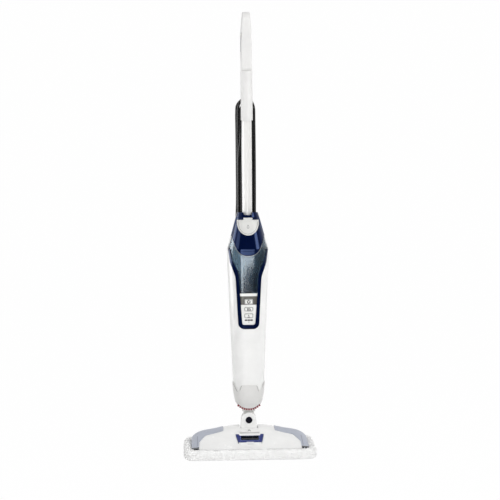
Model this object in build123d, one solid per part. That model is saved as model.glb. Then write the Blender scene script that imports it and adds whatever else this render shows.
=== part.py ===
"""Upright steam mop: head with pad, two-axis neck, body with water tank, tube, handle and cord.

Millimetres, +Z up, front towards -Y, origin on the floor under the middle of the pad.
Each sub-part is one node, written to parts/NODE.step.
"""
from build123d import *
import os
from math import cos, degrees, pi, radians, sin, tan

os.makedirs("parts", exist_ok=True)

# ---- fits ------------------------------------------------------------------------------------
RUNNING_FIT = 0.06       # radial clearance of a pin that turns in its bore
GAP = 0.35               # clearance round parts that move past each other
SEAM = 0.4               # clearance between an inner piece and the shell round it

# ---- pad and head ----------------------------------------------------------------------------
PAD_WIDTH = 343.0
PAD_DEPTH = 180.0
PAD_HEIGHT = 27.0
PAD_CORNER = 26.0
PAD_EDGE = 8.0           # rounding of the pad's top edge
PAD_FLOOR = 11.0         # fleece under the head
PLATE_THICK = 2.0        # steam plate between the pad and the base
BASE_THICK = 10.0
HEAD_WALL = 2.6
HEAD_NOSE = 5.0          # upright lip at the front of the cover
TRIM_THICK = 1.5
# stations of the cover: x, front y, rear y, top z
COVER_STATIONS = [
    (0, -80, 64, 68.0),
    (34, -80, 64, 68.0),
    (72, -80, 63, 62.0),
    (108, -79.5, 60, 55.0),
    (132, -78, 56, 50.0),
    (146, -73, 49, 43.0),
    (152, -66, 42, 36.0),
]
RIDGE_SHARE = 0.76       # where the cover is highest, from its front to its back

# ---- neck joints -----------------------------------------------------------------------------
NECK_Y = 28.0            # both joint axes cross this plane
TILT_Z = 50.0            # height of the tilt axis (along X)
SWIVEL_Z = 86.0          # height of the swivel axis (along Y)
BARREL_R = 13.0
BARREL_HALF = 23.0
SLOT_HALF = 24.5         # half width of the slot that the yoke swings in
PIVOT_PIN_R = 4.0
BUSH_R = 7.0
CHEEK_THICK = 8.0
CHEEK_HALF = 20.0
TONGUE_HALF = 14.0
TONGUE_THICK = 15.4
SWIVEL_PIN_R = 4.5
PIN_CAP_R = 8.9

# ---- scrub pedal -----------------------------------------------------------------------------
PEDAL_HINGE_Y = -13.0
PEDAL_PIN_R = 1.6
PEDAL_HALF = 37.0
PEDAL_FRONT = -57.0
PEDAL_PROUD = 2.6

# ---- body ------------------------------------------------------------------------------------
WALL = 3.0
SPLIT_Y = 15.0           # parting plane of front and rear shells
# stations of the housing: z, half width, front y, rear y, corner radius
HOUSING_FOOT = [
    (114, 24.5, 8, 48, 19),
    (132, 33.0, 1, 55, 25),
    (157, 38.7, -6, 61, 31),
    (190, 41.8, -10, 64, 34),
]
HOUSING_WAIST = [
    HOUSING_FOOT[-1],
    (500, 54.5, -20, 71, 39),
    (545, 55.0, -21, 70, 39),
]
HOUSING_TOP = [
    HOUSING_WAIST[-1],
    (577, 45.5, -14, 63, 33),
    (615, 35.5, -4, 55, 26),
    (641, 27.5, 5, 49.5, 20),
]
SHOULDER_Z = 545.0       # where the front shell ends and the tank takes the full width
COLLAR_Z = 579.0         # bottom of the collar at the back
COLLAR_TOP = 641.0
COLLAR_NOTCH_Z = 634.0
FOOT_FLOOR_Z = 121.0      # inside floor of the body
NECK_TOP_Z = 128.0
NECK_WIDTH = 35.0
NECK_DEPTH = 23.0
NECK_CORNER = 5.0

# ---- boot ------------------------------------------------------------------------------------
BOOT_THICK = 1.8
BOOT_TAB_PROUD = 1.6
BOOT_BOTTOM = 118.5
BOOT_ARC_R = 45.0        # the boot's lower edge rises to the sides on this radius
BOOT_ARC_Z = BOOT_BOTTOM + BOOT_ARC_R
VENT_SIDE_COUNT = 5      # teeth to each side of the middle one
VENT_PITCH = 5.8
VENT_WIDTH = 3.6
VENT_HEIGHT = 3.4
VENT_BAND = 0.6          # band that joins the teeth
FOOT_LIP = 4.5           # the body reaches this far under the boot's lower edge

# ---- frame, panel and tank (front view half widths) ------------------------------------------
FRAME_OUTER = [(58.0, 580.0), (47.5, 508.0), (34.2, 472.0), (27.0, 334.0)]
FRAME_INNER = [(53.0, 573.0), (44.5, 519.0), (27.0, 484.0), (17.2, 345.0)]
FRAME_KNEES = [38.0, 46.0]
FRAME_OUTER_CORNER = 16.0
FRAME_INNER_CORNER = 6.0
FRAME_PROUD = 1.0
FRAME_DEPTH = 3.0
PANEL_SUNK = 0.6
PANEL_THICK = 2.4
BAY_FLOOR_Z = 421.3
TANK_BOTTOM_Z = 429.0
BAND_BOTTOM_Z = 398.5
TANK_SUNK = 1.5
TANK_WALL = 2.0
TANK_BACK_Y = 12.0
TANK_TOP_Z = 628.0
BAY_WALL = 2.4
CAP_LINE = [(62.0, 606.0), (43.5, 577.0), (26.0, 541.0), (20.0, 538.7)]
SEAL_THICK = 1.4
LID_TOP_Z = 622.0
LID_BOTTOM_Z = 580.5
LID_HALF = 29.5
LID_SHOULDER = 7.0       # straight part of the lid's sides
LID_THICK = 2.6
LID_RIM = 3.0
LID_HINGE_Z = 624.8
LID_TAB_HALF = 12.0
LID_BARREL_R = 2.4
LID_PIN_R = 1.2
MOUTH_HALF = 15.0
MOUTH_HIGH = 20.0

# ---- buttons: half width, bottom z, top z ----------------------------------------------------
POWER_BUTTON = (11.0, 399.9, 413.4)
BUTTONS = {"high_steam_button": (11.6, 381.2, 392.6), "low_steam_button": (11.6, 363.0, 375.6)}
BUTTON_CORNER = 3.4
BUTTON_PROUD = 0.8
BUTTON_TRAVEL = 0.8
SWITCH_GAP = 0.1         # from a pressed key to its switch

# ---- tube and handle -------------------------------------------------------------------------
TUBE_Y = 31.0
TUBE_R = 12.7
TUBE_WALL = 1.3
TUBE_BOTTOM = 562.0
TUBE_TOP = 990.0
SLEEVE_R = 15.7
SLEEVE_BOTTOM = 881.0
GRIP_THICK = 1.5
HANDLE_EDGE = 2.5        # rounding of the loop's edges
# side view of the loop: y, z, corner radius
LOOP_OUTSIDE = [(17.0, 1012, 14), (14.5, 1168, 27), (74, 1168, 34), (106, 1128, 34),
                (97, 1052, 34), (50, 1004, 14)]
LOOP_INSIDE = [(40.0, 1050, 8), (39.0, 1144, 12), (68, 1144, 14), (80.5, 1122, 16),
               (73, 1066, 14), (53, 1045, 8)]
# front view of the handle: z, half width
HANDLE_WIDTHS = [(1000, 15.2), (1030, 13.9), (1085, 13.5), (1125, 12.4), (1152, 10.6), (1169, 9.6)]

# ---- cord ------------------------------------------------------------------------------------
CORD_DIA = 6.4
HOOK_R = 11.4            # radius of the arches that the hank is wound on
UPPER_HOOK_Z = 909.0
LOWER_HOOK_Z = 602.0
HANK_FRONT = 64.0
HANK_COLUMNS = 2         # strands side by side on each side
HANK_LAYERS = 4          # strands one behind another
HOOK_FLANGE = 8.0        # how far the end flange stands over the arch
HANK_WIDTH = HANK_COLUMNS * CORD_DIA + 0.8
HANK_DEPTH = HANK_LAYERS * CORD_DIA + 0.8
HOOK_END = HANK_FRONT + HANK_DEPTH + 0.6


# ---- helpers ---------------------------------------------------------------------------------
def block(x0, x1, y0, y1, z0, z1):
    """A box between two corners."""
    return Pos((x0 + x1) / 2, (y0 + y1) / 2, (z0 + z1) / 2) * Box(x1 - x0, y1 - y0, z1 - z0)


def rod_x(x0, x1, y, z, radius):
    return Pos((x0 + x1) / 2, y, z) * Rot(0, 90, 0) * Cylinder(radius, x1 - x0)


def rod_y(x, y0, y1, z, radius):
    return Pos(x, (y0 + y1) / 2, z) * Rot(90, 0, 0) * Cylinder(radius, y1 - y0)


def rod_z(x, y, z0, z1, radius):
    return Pos(x, y, (z0 + z1) / 2) * Cylinder(radius, z1 - z0)


def prism_y(sketch, y0, y1):
    """A front-view sketch (x, z) made solid from y0 back to y1."""
    plane = Plane(origin=(0, y1, 0), x_dir=(1, 0, 0), z_dir=(0, -1, 0))
    return extrude(plane * sketch, y1 - y0)


def prism_x(sketch, x0, x1):
    """A side-view sketch (y, z) made solid from x0 to x1."""
    return extrude(Plane.YZ.offset(x0) * sketch, x1 - x0)


def outline(points, radii):
    """A closed outline with one corner radius for each point."""
    wire = FilletPolyline(*points, radius=radii, close=True)
    return make_face(wire)


def mirrored(half):
    """Both halves of a symmetric outline from its right half, top to bottom."""
    return half + [(-x, z) for x, z in reversed(half)]


def both_sides(piece):
    return [piece, mirror(piece, Plane.YZ)]


def save(name, *pieces):
    """Write one node: one solid, or a group of separate solids."""
    solids = [solid for piece in pieces for solid in piece.solids()]
    shape = solids[0] if len(solids) == 1 else Compound(solids)
    export_step(shape, f"parts/{name}.step")


# ---- the two forms that everything follows ---------------------------------------------------
FOOT, WAIST, TOP = (HOUSING_FOOT, False), (HOUSING_WAIST, True), (HOUSING_TOP, False)
housing_cache = {}


def housing_stretch(stretch, grow):
    """One stretch of the body's outer form, offset by grow."""
    stations, straight = stretch
    key = (stations[0], grow)
    if key not in housing_cache:
        sections = []
        for z, half, front, rear, corner in stations:
            face = RectangleRounded(2 * (half + grow), rear - front + 2 * grow, corner + grow)
            sections.append(Pos(0, (front + rear) / 2, z) * face)
        housing_cache[key] = loft(sections, ruled=straight)
    return housing_cache[key]


def housing(grow, *stretches):
    """The body's outer form, offset by grow, whole or only the stretches named."""
    stretches = stretches or (FOOT, WAIST, TOP)
    key = (grow,) + tuple(stations[0] for stations, straight in stretches)
    if key not in housing_cache:
        first, *others = [housing_stretch(stretch, grow) for stretch in stretches]
        housing_cache[key] = first + others if others else first
    return housing_cache[key]


def housing_skin(outside, inside, *stretches):
    return housing(outside, *stretches) - housing(inside, *stretches)


def front_face(z):
    """The housing's front y at a height between two stations, straight from one to the next."""
    stations = HOUSING_FOOT + HOUSING_WAIST[1:] + HOUSING_TOP[1:]
    for low, high in zip(stations, stations[1:]):
        if low[0] <= z <= high[0]:
            share = (z - low[0]) / (high[0] - low[0])
            return low[2] + share * (high[2] - low[2])
    return stations[-1][2]


def cover_section(x, front, rear, top, grow):
    """One slice of the head cover: upright nose, rising slope, ridge, rounded back."""
    floor = PAD_FLOOR + PLATE_THICK + BASE_THICK
    front = front - grow
    rear = rear + grow
    nose = floor + HEAD_NOSE + grow
    top = top + grow
    depth = rear - front
    ridge = front + RIDGE_SHARE * depth
    rise = top - nose
    slope = Spline(
        (front, nose),
        (front + 0.4 * depth, nose + 0.58 * rise),
        (ridge, top - 0.01 * rise),
        (rear - 0.07 * depth, top - 0.08 * rise),
        (rear, nose + 0.42 * rise),
    )
    walls = Polyline((rear, nose + 0.42 * rise), (rear, floor), (front, floor), (front, nose))
    face = make_face(slope + walls)
    return Plane.YZ.offset(x) * face


def cover_form(grow):
    """The head cover's outer form, offset by grow."""
    right = []
    for x, front, rear, top in COVER_STATIONS:
        side = x + grow if x == COVER_STATIONS[-1][0] else x
        right.append((side, front, rear, top))
    stations = [(-x, front, rear, top) for x, front, rear, top in reversed(right[1:])] + right
    return loft([cover_section(*station, grow) for station in stations])


# ---- head ------------------------------------------------------------------------------------
BASE_Z = PAD_FLOOR + PLATE_THICK
BASE_TOP = BASE_Z + BASE_THICK
COVER_HALF = COVER_STATIONS[-1][0]
COVER_FRONT = COVER_STATIONS[0][1]
COVER_REAR = COVER_STATIONS[0][2]
COVER_TOP = COVER_STATIONS[0][3]
PIVOT_BOSS = (SLOT_HALF + 0.4, SLOT_HALF + 13.0)


def make_pad():
    pad = extrude(RectangleRounded(PAD_WIDTH, PAD_DEPTH, PAD_CORNER), PAD_HEIGHT)
    pad = fillet(pad.edges().group_by(Axis.Z)[-1], PAD_EDGE)
    pad = fillet(pad.edges().group_by(Axis.Z)[0], 3)
    pocket_half = COVER_HALF + TRIM_THICK + 0.6
    front = COVER_FRONT - TRIM_THICK - 0.6
    rear = COVER_REAR + TRIM_THICK + 0.6
    pocket = Pos(0, (front + rear) / 2, PAD_FLOOR) * extrude(
        RectangleRounded(2 * pocket_half, rear - front, 18), PAD_HEIGHT)
    save("mop_pad", pad - pocket)


def base_outline(inset):
    """The base in plan: the cover's own outline, inset."""
    right = [(x, front) for x, front, rear, top in COVER_STATIONS]
    back = [(x, rear) for x, front, rear, top in COVER_STATIONS]
    loop = right + back[::-1]
    loop = loop + [(-x, y) for x, y in reversed(loop) if x > 0]
    face = make_face(Polyline(*loop, close=True))
    return offset(face, amount=-inset, kind=Kind.INTERSECTION)


def make_base():
    inside = HEAD_WALL + 0.3
    plate = Pos(0, 0, BASE_Z) * extrude(base_outline(0.6), BASE_THICK)
    plate -= Pos(0, 0, BASE_Z + 3) * extrude(base_outline(inside + 3), BASE_THICK)
    floor = Pos(0, 0, BASE_Z) * extrude(base_outline(inside), 3.0)
    base = plate + floor
    for x in (-105, -50, 50, 105):
        base += block(x - 1.2, x + 1.2, COVER_FRONT + 8, 45, BASE_Z + 2, BASE_TOP - 1)
    low, high = PIVOT_BOSS
    for side in (-1, 1):
        x0, x1 = sorted((side * low, side * high))
        base += block(x0, x1, NECK_Y - 11, NECK_Y + 11, BASE_Z + 1, TILT_Z)
        base += rod_x(x0, x1, NECK_Y, TILT_Z, 11)
    base -= rod_x(-high - 1, high + 1, NECK_Y, TILT_Z, PIVOT_PIN_R)
    for x in (-120, -62, 62, 120):
        boss = rod_z(x, 0, BASE_Z + 1, BASE_TOP + 8, 5)
        base += boss
        base -= rod_z(x, 0, BASE_Z - 1, BASE_TOP + 9, 1.9)
        base -= rod_z(x, 0, BASE_Z - 1, BASE_Z + 3, 4.2)
    base -= rod_z(0, NECK_Y, BASE_Z - 1, BASE_TOP, 3.0)
    save("head_base", base)
    screws = []
    for x in (-120, -62, 62, 120):
        head = rod_z(x, 0, BASE_Z + 0.4, BASE_Z + 3, 3.6)
        screws.append(head + rod_z(x, 0, BASE_Z + 2, BASE_TOP + 7, 1.8))
    save("head_screws", *screws)
    plate_half = 118
    steam_plate = Pos(0, -6, PAD_FLOOR) * extrude(
        RectangleRounded(2 * plate_half, 96, 12), PLATE_THICK)
    for x in range(-100, 101, 25):
        for y in (-36, -6, 24):
            steam_plate -= rod_z(x, y, PAD_FLOOR - 1, BASE_Z + 1, 2.2)
    save("steam_plate", steam_plate)
    inlet = rod_z(0, NECK_Y, BASE_Z + 3, TILT_Z - BARREL_R - 5.6, 6.0)
    inlet -= rod_z(0, NECK_Y, BASE_Z + 2, TILT_Z, 3.0)
    save("steam_inlet", inlet)


def slot_cut():
    """The room that the yoke swings in, open to the back."""
    back = COVER_REAR + 20
    side = make_face(Polyline(
        (NECK_Y - 17, BASE_TOP + 6), (NECK_Y - 17, COVER_TOP + 20), (back, COVER_TOP + 20),
        (back, BASE_TOP + 6), close=True))
    return prism_x(side, -SLOT_HALF, SLOT_HALF)


def pedal_outline(grow):
    """The pedal in plan, with its two ears at the back."""
    right = [
        (PEDAL_HALF - 5.5 + grow, PEDAL_HINGE_Y + 4 + grow),
        (PEDAL_HALF + grow, PEDAL_HINGE_Y - 7),
        (PEDAL_HALF - 7.5 + grow, PEDAL_FRONT - grow),
    ]
    return outline(mirrored(right), [2.5 + grow, 3 + grow, 5 + grow, 5 + grow, 3 + grow, 2.5 + grow])


def pedal_hinge_z():
    """The pedal pin lies just under the cover's surface."""
    floor = PAD_FLOOR + PLATE_THICK + BASE_THICK
    nose = floor + HEAD_NOSE
    share = (PEDAL_HINGE_Y - COVER_FRONT) / (COVER_REAR - COVER_FRONT)
    return nose + 1.4 * share * (COVER_TOP - nose) - 4.5


def trim_region():
    """Plan outline of the right trim, beyond the cover's edge outside."""
    points = [(69, 8), (69, 90), (175, 90), (175, -66), (134.5, -66), (134, -36), (116, -1)]
    return outline(points, [1.5, 1, 1, 1, 1, 14, 12])


def make_cover():
    outer = cover_form(0)
    inner = cover_form(-HEAD_WALL) - block(-200, 200, -200, 200, 0, BASE_TOP - 1)
    inner = inner + block(-COVER_HALF + 4, COVER_HALF - 4, -60, 38, BASE_TOP - 1, BASE_TOP + 1)
    cover = outer - inner
    cover -= slot_cut()
    cover -= Pos(0, 0, BASE_TOP + 1) * extrude(pedal_outline(0.5), 60)
    low, high = PIVOT_BOSS
    for side in (-1, 1):
        x0, x1 = sorted((side * (low - 1), side * (high + 0.6)))
        cover -= block(x0, x1, NECK_Y - 11.6, NECK_Y + 11.6, BASE_TOP - 2, TILT_Z)
        cover -= rod_x(x0, x1, NECK_Y, TILT_Z, 11.6)
    hinge_z = pedal_hinge_z()
    for side in (-1, 1):
        x0, x1 = sorted((side * (PEDAL_HALF + 0.7), side * (PEDAL_HALF + 4.2)))
        lug = block(x0, x1, PEDAL_HINGE_Y - 4, PEDAL_HINGE_Y + 4, hinge_z - 4, hinge_z + 6)
        cover += lug & outer
    cover -= rod_x(-PEDAL_HALF - 3, PEDAL_HALF + 3, PEDAL_HINGE_Y, hinge_z, PEDAL_PIN_R)
    region = Pos(0, 0, BASE_TOP) * extrude(trim_region(), 80)
    save("head_cover", cover)
    grown = cover_form(TRIM_THICK)
    skin = grown - outer
    trim = skin & region
    trim = trim - block(-200, 200, -200, 200, 0, BASE_TOP + 1.5)
    save("right_trim", trim)
    save("left_trim", mirror(trim, Plane.YZ))
    tip_region = block(134.5, 175, -100, -66.2, BASE_TOP + 0.6, 80)
    tip = skin & tip_region
    save("trim_tips", *both_sides(tip))


def make_pedal():
    hinge_z = pedal_hinge_z()
    form = cover_form(PEDAL_PROUD) - cover_form(-2.6)
    plan = Pos(0, 0, BASE_TOP) * extrude(pedal_outline(0), 60)
    pedal = form & plan
    ears_gap = outline([(-24, PEDAL_HINGE_Y + 12), (24, PEDAL_HINGE_Y + 12),
                        (27, PEDAL_HINGE_Y - 4), (-27, PEDAL_HINGE_Y - 4)], [2, 2, 3, 3])
    pedal -= Pos(0, 0, BASE_TOP) * extrude(ears_gap, 60)
    slot = Pos(0, PEDAL_HINGE_Y - 21) * RectangleRounded(46, 12, 3)
    pedal -= Pos(0, 0, BASE_TOP) * extrude(slot, 60)
    notch = Pos(0, PEDAL_FRONT) * RectangleRounded(16, 7, 2)
    pedal -= Pos(0, 0, BASE_TOP) * extrude(notch, 60)
    for side in (-1, 1):
        x0, x1 = sorted((side * (PEDAL_HALF - 11), side * (PEDAL_HALF - 6)))
        knuckle = rod_x(x0, x1, PEDAL_HINGE_Y, hinge_z, 3.2)
        web = block(x0, x1, PEDAL_HINGE_Y - 3, PEDAL_HINGE_Y + 3, hinge_z, hinge_z + 4)
        pedal += knuckle + (web & cover_form(0))
    pedal -= rod_x(-PEDAL_HALF, PEDAL_HALF, PEDAL_HINGE_Y, hinge_z, PEDAL_PIN_R + RUNNING_FIT)
    save("scrub_pedal", pedal)
    save("pedal_pin", rod_x(-PEDAL_HALF - 2.9, PEDAL_HALF + 2.9, PEDAL_HINGE_Y, hinge_z,
                            PEDAL_PIN_R))


# ---- neck ------------------------------------------------------------------------------------
CHEEK_FRONT = NECK_Y - TONGUE_THICK / 2 - 0.3 - CHEEK_THICK
CHEEK_REAR = NECK_Y + TONGUE_THICK / 2 + 0.3


def cheek(y0, y1):
    """One ear of the yoke: a plate with a round top about the swivel axis."""
    plate = outline([(-CHEEK_HALF - 2.5, TILT_Z - 6), (-CHEEK_HALF, SWIVEL_Z),
                     (CHEEK_HALF, SWIVEL_Z), (CHEEK_HALF + 2.5, TILT_Z - 6)], [4, 0.5, 0.5, 4])
    return prism_y(plate, y0, y1) + rod_y(0, y0, y1, SWIVEL_Z, CHEEK_HALF)


def make_yoke():
    yoke = cheek(CHEEK_FRONT, CHEEK_FRONT + CHEEK_THICK)
    yoke += cheek(CHEEK_REAR, CHEEK_REAR + CHEEK_THICK)
    yoke += rod_x(-BARREL_HALF, BARREL_HALF, NECK_Y, TILT_Z, BARREL_R)
    bridge = block(-CHEEK_HALF, CHEEK_HALF, CHEEK_FRONT + 4, CHEEK_REAR + 4, TILT_Z, TILT_Z + 15)
    yoke += bridge
    yoke -= rod_x(-BARREL_HALF - 1, -10, NECK_Y, TILT_Z, BUSH_R)
    yoke -= rod_x(10, BARREL_HALF + 1, NECK_Y, TILT_Z, BUSH_R)
    yoke -= rod_y(0, CHEEK_FRONT - 1, CHEEK_REAR + CHEEK_THICK + 1, SWIVEL_Z, SWIVEL_PIN_R)
    save("yoke", yoke)
    bush = rod_x(10.2, BARREL_HALF + 0.6, NECK_Y, TILT_Z, BUSH_R)
    bush -= rod_x(9, BARREL_HALF + 2, NECK_Y, TILT_Z, PIVOT_PIN_R + RUNNING_FIT)
    save("pivot_bushes", *both_sides(bush))
    pin = rod_x(11, PIVOT_BOSS[1], NECK_Y, TILT_Z, PIVOT_PIN_R)
    save("pivot_pins", *both_sides(chamfer(pin.edges(), 0.6)))
    rear_face = CHEEK_REAR + CHEEK_THICK
    save("swivel_pin", rod_y(0, CHEEK_FRONT + 0.2, rear_face + 2.6, SWIVEL_Z, SWIVEL_PIN_R))
    cap = rod_y(0, CHEEK_FRONT - 2.4, CHEEK_FRONT, SWIVEL_Z, PIN_CAP_R)
    cap = fillet(cap.edges().filter_by(GeomType.CIRCLE).sort_by(Axis.Y)[0], 1.6)
    save("pin_cap", cap)
    clip = rod_y(0, rear_face, rear_face + 1.6, SWIVEL_Z, 7.5)
    clip -= rod_y(0, rear_face - 1, rear_face + 3, SWIVEL_Z, SWIVEL_PIN_R)
    clip -= block(-2.2, 2.2, rear_face - 1, rear_face + 3, SWIVEL_Z - 9, SWIVEL_Z)
    save("pin_clip", clip)


def make_neck():
    half_thick = TONGUE_THICK / 2
    low = HOUSING_FOOT[0][0]
    tongue = block(-TONGUE_HALF, TONGUE_HALF, NECK_Y - half_thick, NECK_Y + half_thick,
                   SWIVEL_Z, low + 1)
    tongue += rod_y(0, NECK_Y - half_thick, NECK_Y + half_thick, SWIVEL_Z, TONGUE_HALF)
    stem = RectangleRounded(NECK_WIDTH, NECK_DEPTH, NECK_CORNER)
    tongue += Pos(0, NECK_Y, low - 5) * extrude(stem, FOOT_FLOOR_Z - low + 5.4)
    flange_z = FOOT_FLOOR_Z + 0.2
    flange_plan = RectangleRounded(NECK_WIDTH + 2, NECK_DEPTH + 5, NECK_CORNER + 1)
    tongue += Pos(0, NECK_Y, flange_z) * extrude(flange_plan, NECK_TOP_Z - flange_z)
    tongue -= rod_y(0, 0, 60, SWIVEL_Z, SWIVEL_PIN_R + RUNNING_FIT)
    tongue -= rod_z(0, NECK_Y, SWIVEL_Z + TONGUE_HALF, NECK_TOP_Z + 1, 4.2)
    save("neck", tongue)


# ---- body shells -----------------------------------------------------------------------------
def frame_outline(points, corner, inset):
    half = [(x - inset, z) for x, z in points[:-1]]
    last_x, last_z = points[-1]
    half.append((last_x - inset, last_z + inset))
    radii = [1.0] + FRAME_KNEES + [corner]
    return outline(mirrored(half), radii + radii[::-1])


def frame_hole(points, corner, inset):
    """A frame outline as a cutter through the front of the body."""
    return prism_y(frame_outline(points, corner, inset), -60, SPLIT_Y)


def bowl(radius):
    """Everything above an arc that follows the boot's lower edge."""
    upper = block(-80, 80, -60, 100, BOOT_ARC_Z - 12, COLLAR_TOP)
    return upper + rod_y(0, -60, 100, BOOT_ARC_Z, radius)


def cavity():
    """The room inside the body's walls."""
    room = housing(-WALL) & block(-80, 80, -60, 90, FOOT_FLOOR_Z, COLLAR_TOP)
    return room & bowl(BOOT_ARC_R + FOOT_LIP - WALL)


def shell(y0, y1, z1):
    outer = housing(0) & block(-80, 80, y0, y1, 0, z1)
    return (outer & bowl(BOOT_ARC_R + FOOT_LIP)) - cavity()


def neck_hole():
    low = HOUSING_FOOT[0][0] - 2
    plan = RectangleRounded(NECK_WIDTH + 0.1, NECK_DEPTH + 0.1, NECK_CORNER)
    return Pos(0, NECK_Y, low) * extrude(plan, FOOT_FLOOR_Z + 3 - low)


def shelf(z, thick, holes):
    """A floor across the rear shell, which reaches forward to the front wall."""
    rear = housing(-WALL + 0.5, WAIST) & block(-80, 80, SPLIT_Y + 0.2, 90, z, z + thick)
    ahead = housing(-WALL - SEAM, WAIST) & block(-80, 80, 3, SPLIT_Y + 0.3, z, z + thick)
    return rear + ahead - [rod_z(x, y, z - 1, z + thick + 1, radius) for x, y, radius in holes]


BOILER_R = 27.0
BOILER_Y = 29.0
BOILER_Z = (206.0, 334.0)
PUMP_R = 17.0
PUMP_Y = 45.0
PUMP_Z = (372.0, 430.0)
HOSE_R = 3.0
VALVE_Z = 452.0
SHELF_THICK = 3.0
RELIEF_X = -28.0
RELIEF_Y = 79.0
RELIEF_Z = 531.0
INLET_BOX = (-39.0, -17.0, 40.0, 87.0, 503.0, RELIEF_Z)
SCREW_SPOTS = [(-17, 164), (17, 164), (-36, 345), (36, 345), (-38, 480), (38, 480)]
SCREW_HEAD_Y = 51.5


def make_shells():
    front = shell(-60, SPLIT_Y, SHOULDER_Z)
    front -= frame_hole(FRAME_OUTER, FRAME_OUTER_CORNER, 0)
    front -= neck_hole()
    save("front_shell", front)
    rear = shell(SPLIT_Y, 90, COLLAR_Z)
    rear -= neck_hole()
    rear += shelf(BOILER_Z[0] - SHELF_THICK, SHELF_THICK, [(0, BOILER_Y, 4.6)])
    rear += shelf(PUMP_Z[0] - SHELF_THICK, SHELF_THICK, [(0, PUMP_Y, 4.0)])
    x0, x1, y0, y1, z0, z1 = INLET_BOX
    hood = extrude(Pos((x0 + x1) / 2, (y0 + y1) / 2, z0) * RectangleRounded(x1 - x0, y1 - y0, 7),
                   z1 - z0)
    hood = fillet(hood.edges().group_by(Axis.Z)[0], 5)
    rear += hood - housing(-0.5, WAIST)
    rear -= rod_z(RELIEF_X, RELIEF_Y, RELIEF_Z - 14, RELIEF_Z + 1, 4.0)
    posts = [rod_y(x, SPLIT_Y + 0.2, 70, z, 4.6) for x, z in SCREW_SPOTS]
    rear += Part() + posts & housing(-WALL + 0.5, FOOT, WAIST)
    rear -= [rod_y(x, SCREW_HEAD_Y - 0.1, 90, z, 3.3) for x, z in SCREW_SPOTS]
    rear -= [rod_y(x, SPLIT_Y - 1, 90, z, 1.6) for x, z in SCREW_SPOTS]
    save("rear_shell", rear)
    save("body_screws", *[
        rod_y(x, SPLIT_Y + 1, SCREW_HEAD_Y + 2.4, z, 1.5)
        + rod_y(x, SCREW_HEAD_Y, SCREW_HEAD_Y + 2.4, z, 3.0) for x, z in SCREW_SPOTS])


def make_boot():
    ears = [(60, 188), (41.5, 188), (29.0, 164.5), (21.0, 184.0)]
    front_profile = outline(
        mirrored(ears) + [(-60, 90), (60, 90)],
        [1, 2, 3, 3, 3, 3, 2, 1, 1, 1])
    lift = prism_y(front_profile, -60, NECK_Y)
    back = block(-80, 80, NECK_Y, 100, 90, 176)
    region = lift + back
    boot = housing_skin(BOOT_THICK, 0.05, FOOT) & region & bowl(BOOT_ARC_R)
    tab = outline([(-20.6, 184), (20.6, 184), (27.5, 160), (22, 132), (-22, 132), (-27.5, 160)],
                  [4, 4, 8, 8, 8, 8])
    raised = housing_skin(BOOT_THICK + BOOT_TAB_PROUD, BOOT_THICK - 0.5, FOOT)
    boot += raised & prism_y(tab, -60, SPLIT_Y)
    save("boot", boot)


def make_vent_ring():
    """Teeth under the boot's lower edge, front and back, on a thin band that runs all round."""
    edge = BOOT_ARC_R + 0.1
    ring = rod_y(0, -60, 100, BOOT_ARC_Z, edge + VENT_BAND)
    for index in range(-VENT_SIDE_COUNT, VENT_SIDE_COUNT + 1):
        turn = degrees(index * VENT_PITCH / BOOT_ARC_R)
        tooth = block(-VENT_WIDTH / 2, VENT_WIDTH / 2, -60, 100, -edge - VENT_HEIGHT, -edge)
        ring += Pos(0, 0, BOOT_ARC_Z) * Rot(0, turn, 0) * tooth
    ring -= rod_y(0, -61, 101, BOOT_ARC_Z, edge)
    ring -= block(-80, 80, -61, 101, BOOT_ARC_Z - 12, 300)
    save("vent_ring", ring & housing_skin(BOOT_THICK - 0.2, 0.05, FOOT))


# ---- frame, panel and buttons ----------------------------------------------------------------
def button_outline(half, low, high, grow):
    sketch = RectangleRounded(2 * (half + grow), high - low + 2 * grow, BUTTON_CORNER + grow)
    return Pos(0, (low + high) / 2) * sketch


def panel_skin():
    return housing_skin(-PANEL_SUNK, -PANEL_SUNK - PANEL_THICK, WAIST)


def make_frame():
    below = block(-80, 80, -60, SPLIT_Y, 300, SHOULDER_Z)
    ring = prism_y(frame_outline(FRAME_OUTER, FRAME_OUTER_CORNER, 0), -60, SPLIT_Y)
    ring -= frame_hole(FRAME_INNER, FRAME_INNER_CORNER, 0)
    save("tank_frame", housing_skin(FRAME_PROUD, -FRAME_DEPTH, WAIST) & ring & below)


def make_panel():
    hole = prism_y(frame_outline(FRAME_INNER, FRAME_INNER_CORNER, 0.05), -60, 10)
    skin = panel_skin() & hole
    panel = skin & block(-60, 60, -60, 20, 330, BAND_BOTTOM_Z)
    band = skin & block(-60, 60, -60, 20, BAND_BOTTOM_Z + 0.1, BAY_FLOOR_Z - 0.1)
    board_y = -5.0
    panel += [rod_y(x, front_face(z) + PANEL_SUNK + 1.4, board_y, z, 1.6)
              for x in (-12, 12) for z in (351, 396)]
    panel -= [prism_y(button_outline(*size, GAP), -60, -6) for size in BUTTONS.values()]
    band -= prism_y(button_outline(*POWER_BUTTON, GAP), -60, 0)
    save("control_panel", panel)
    save("display_band", band)
    board = block(-15.5, 15.5, board_y, board_y + 1.6, 347.5, 418)
    for half, low, high in [POWER_BUTTON] + list(BUTTONS.values()):
        middle = (low + high) / 2
        key_back = front_face(low) + PANEL_SUNK + PANEL_THICK
        switch = key_back + BUTTON_TRAVEL + SWITCH_GAP
        board += block(-3, 3, switch + 1.3, board_y + 0.5, middle - 3, middle + 3)
        board += rod_y(0, switch, board_y, middle, 1.7)
    board += block(-12, -4, board_y + 1, board_y + 7, 352, 362)
    board += rod_y(8, board_y + 1, board_y + 9, 357, 3.5)
    save("circuit_board", board)


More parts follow.
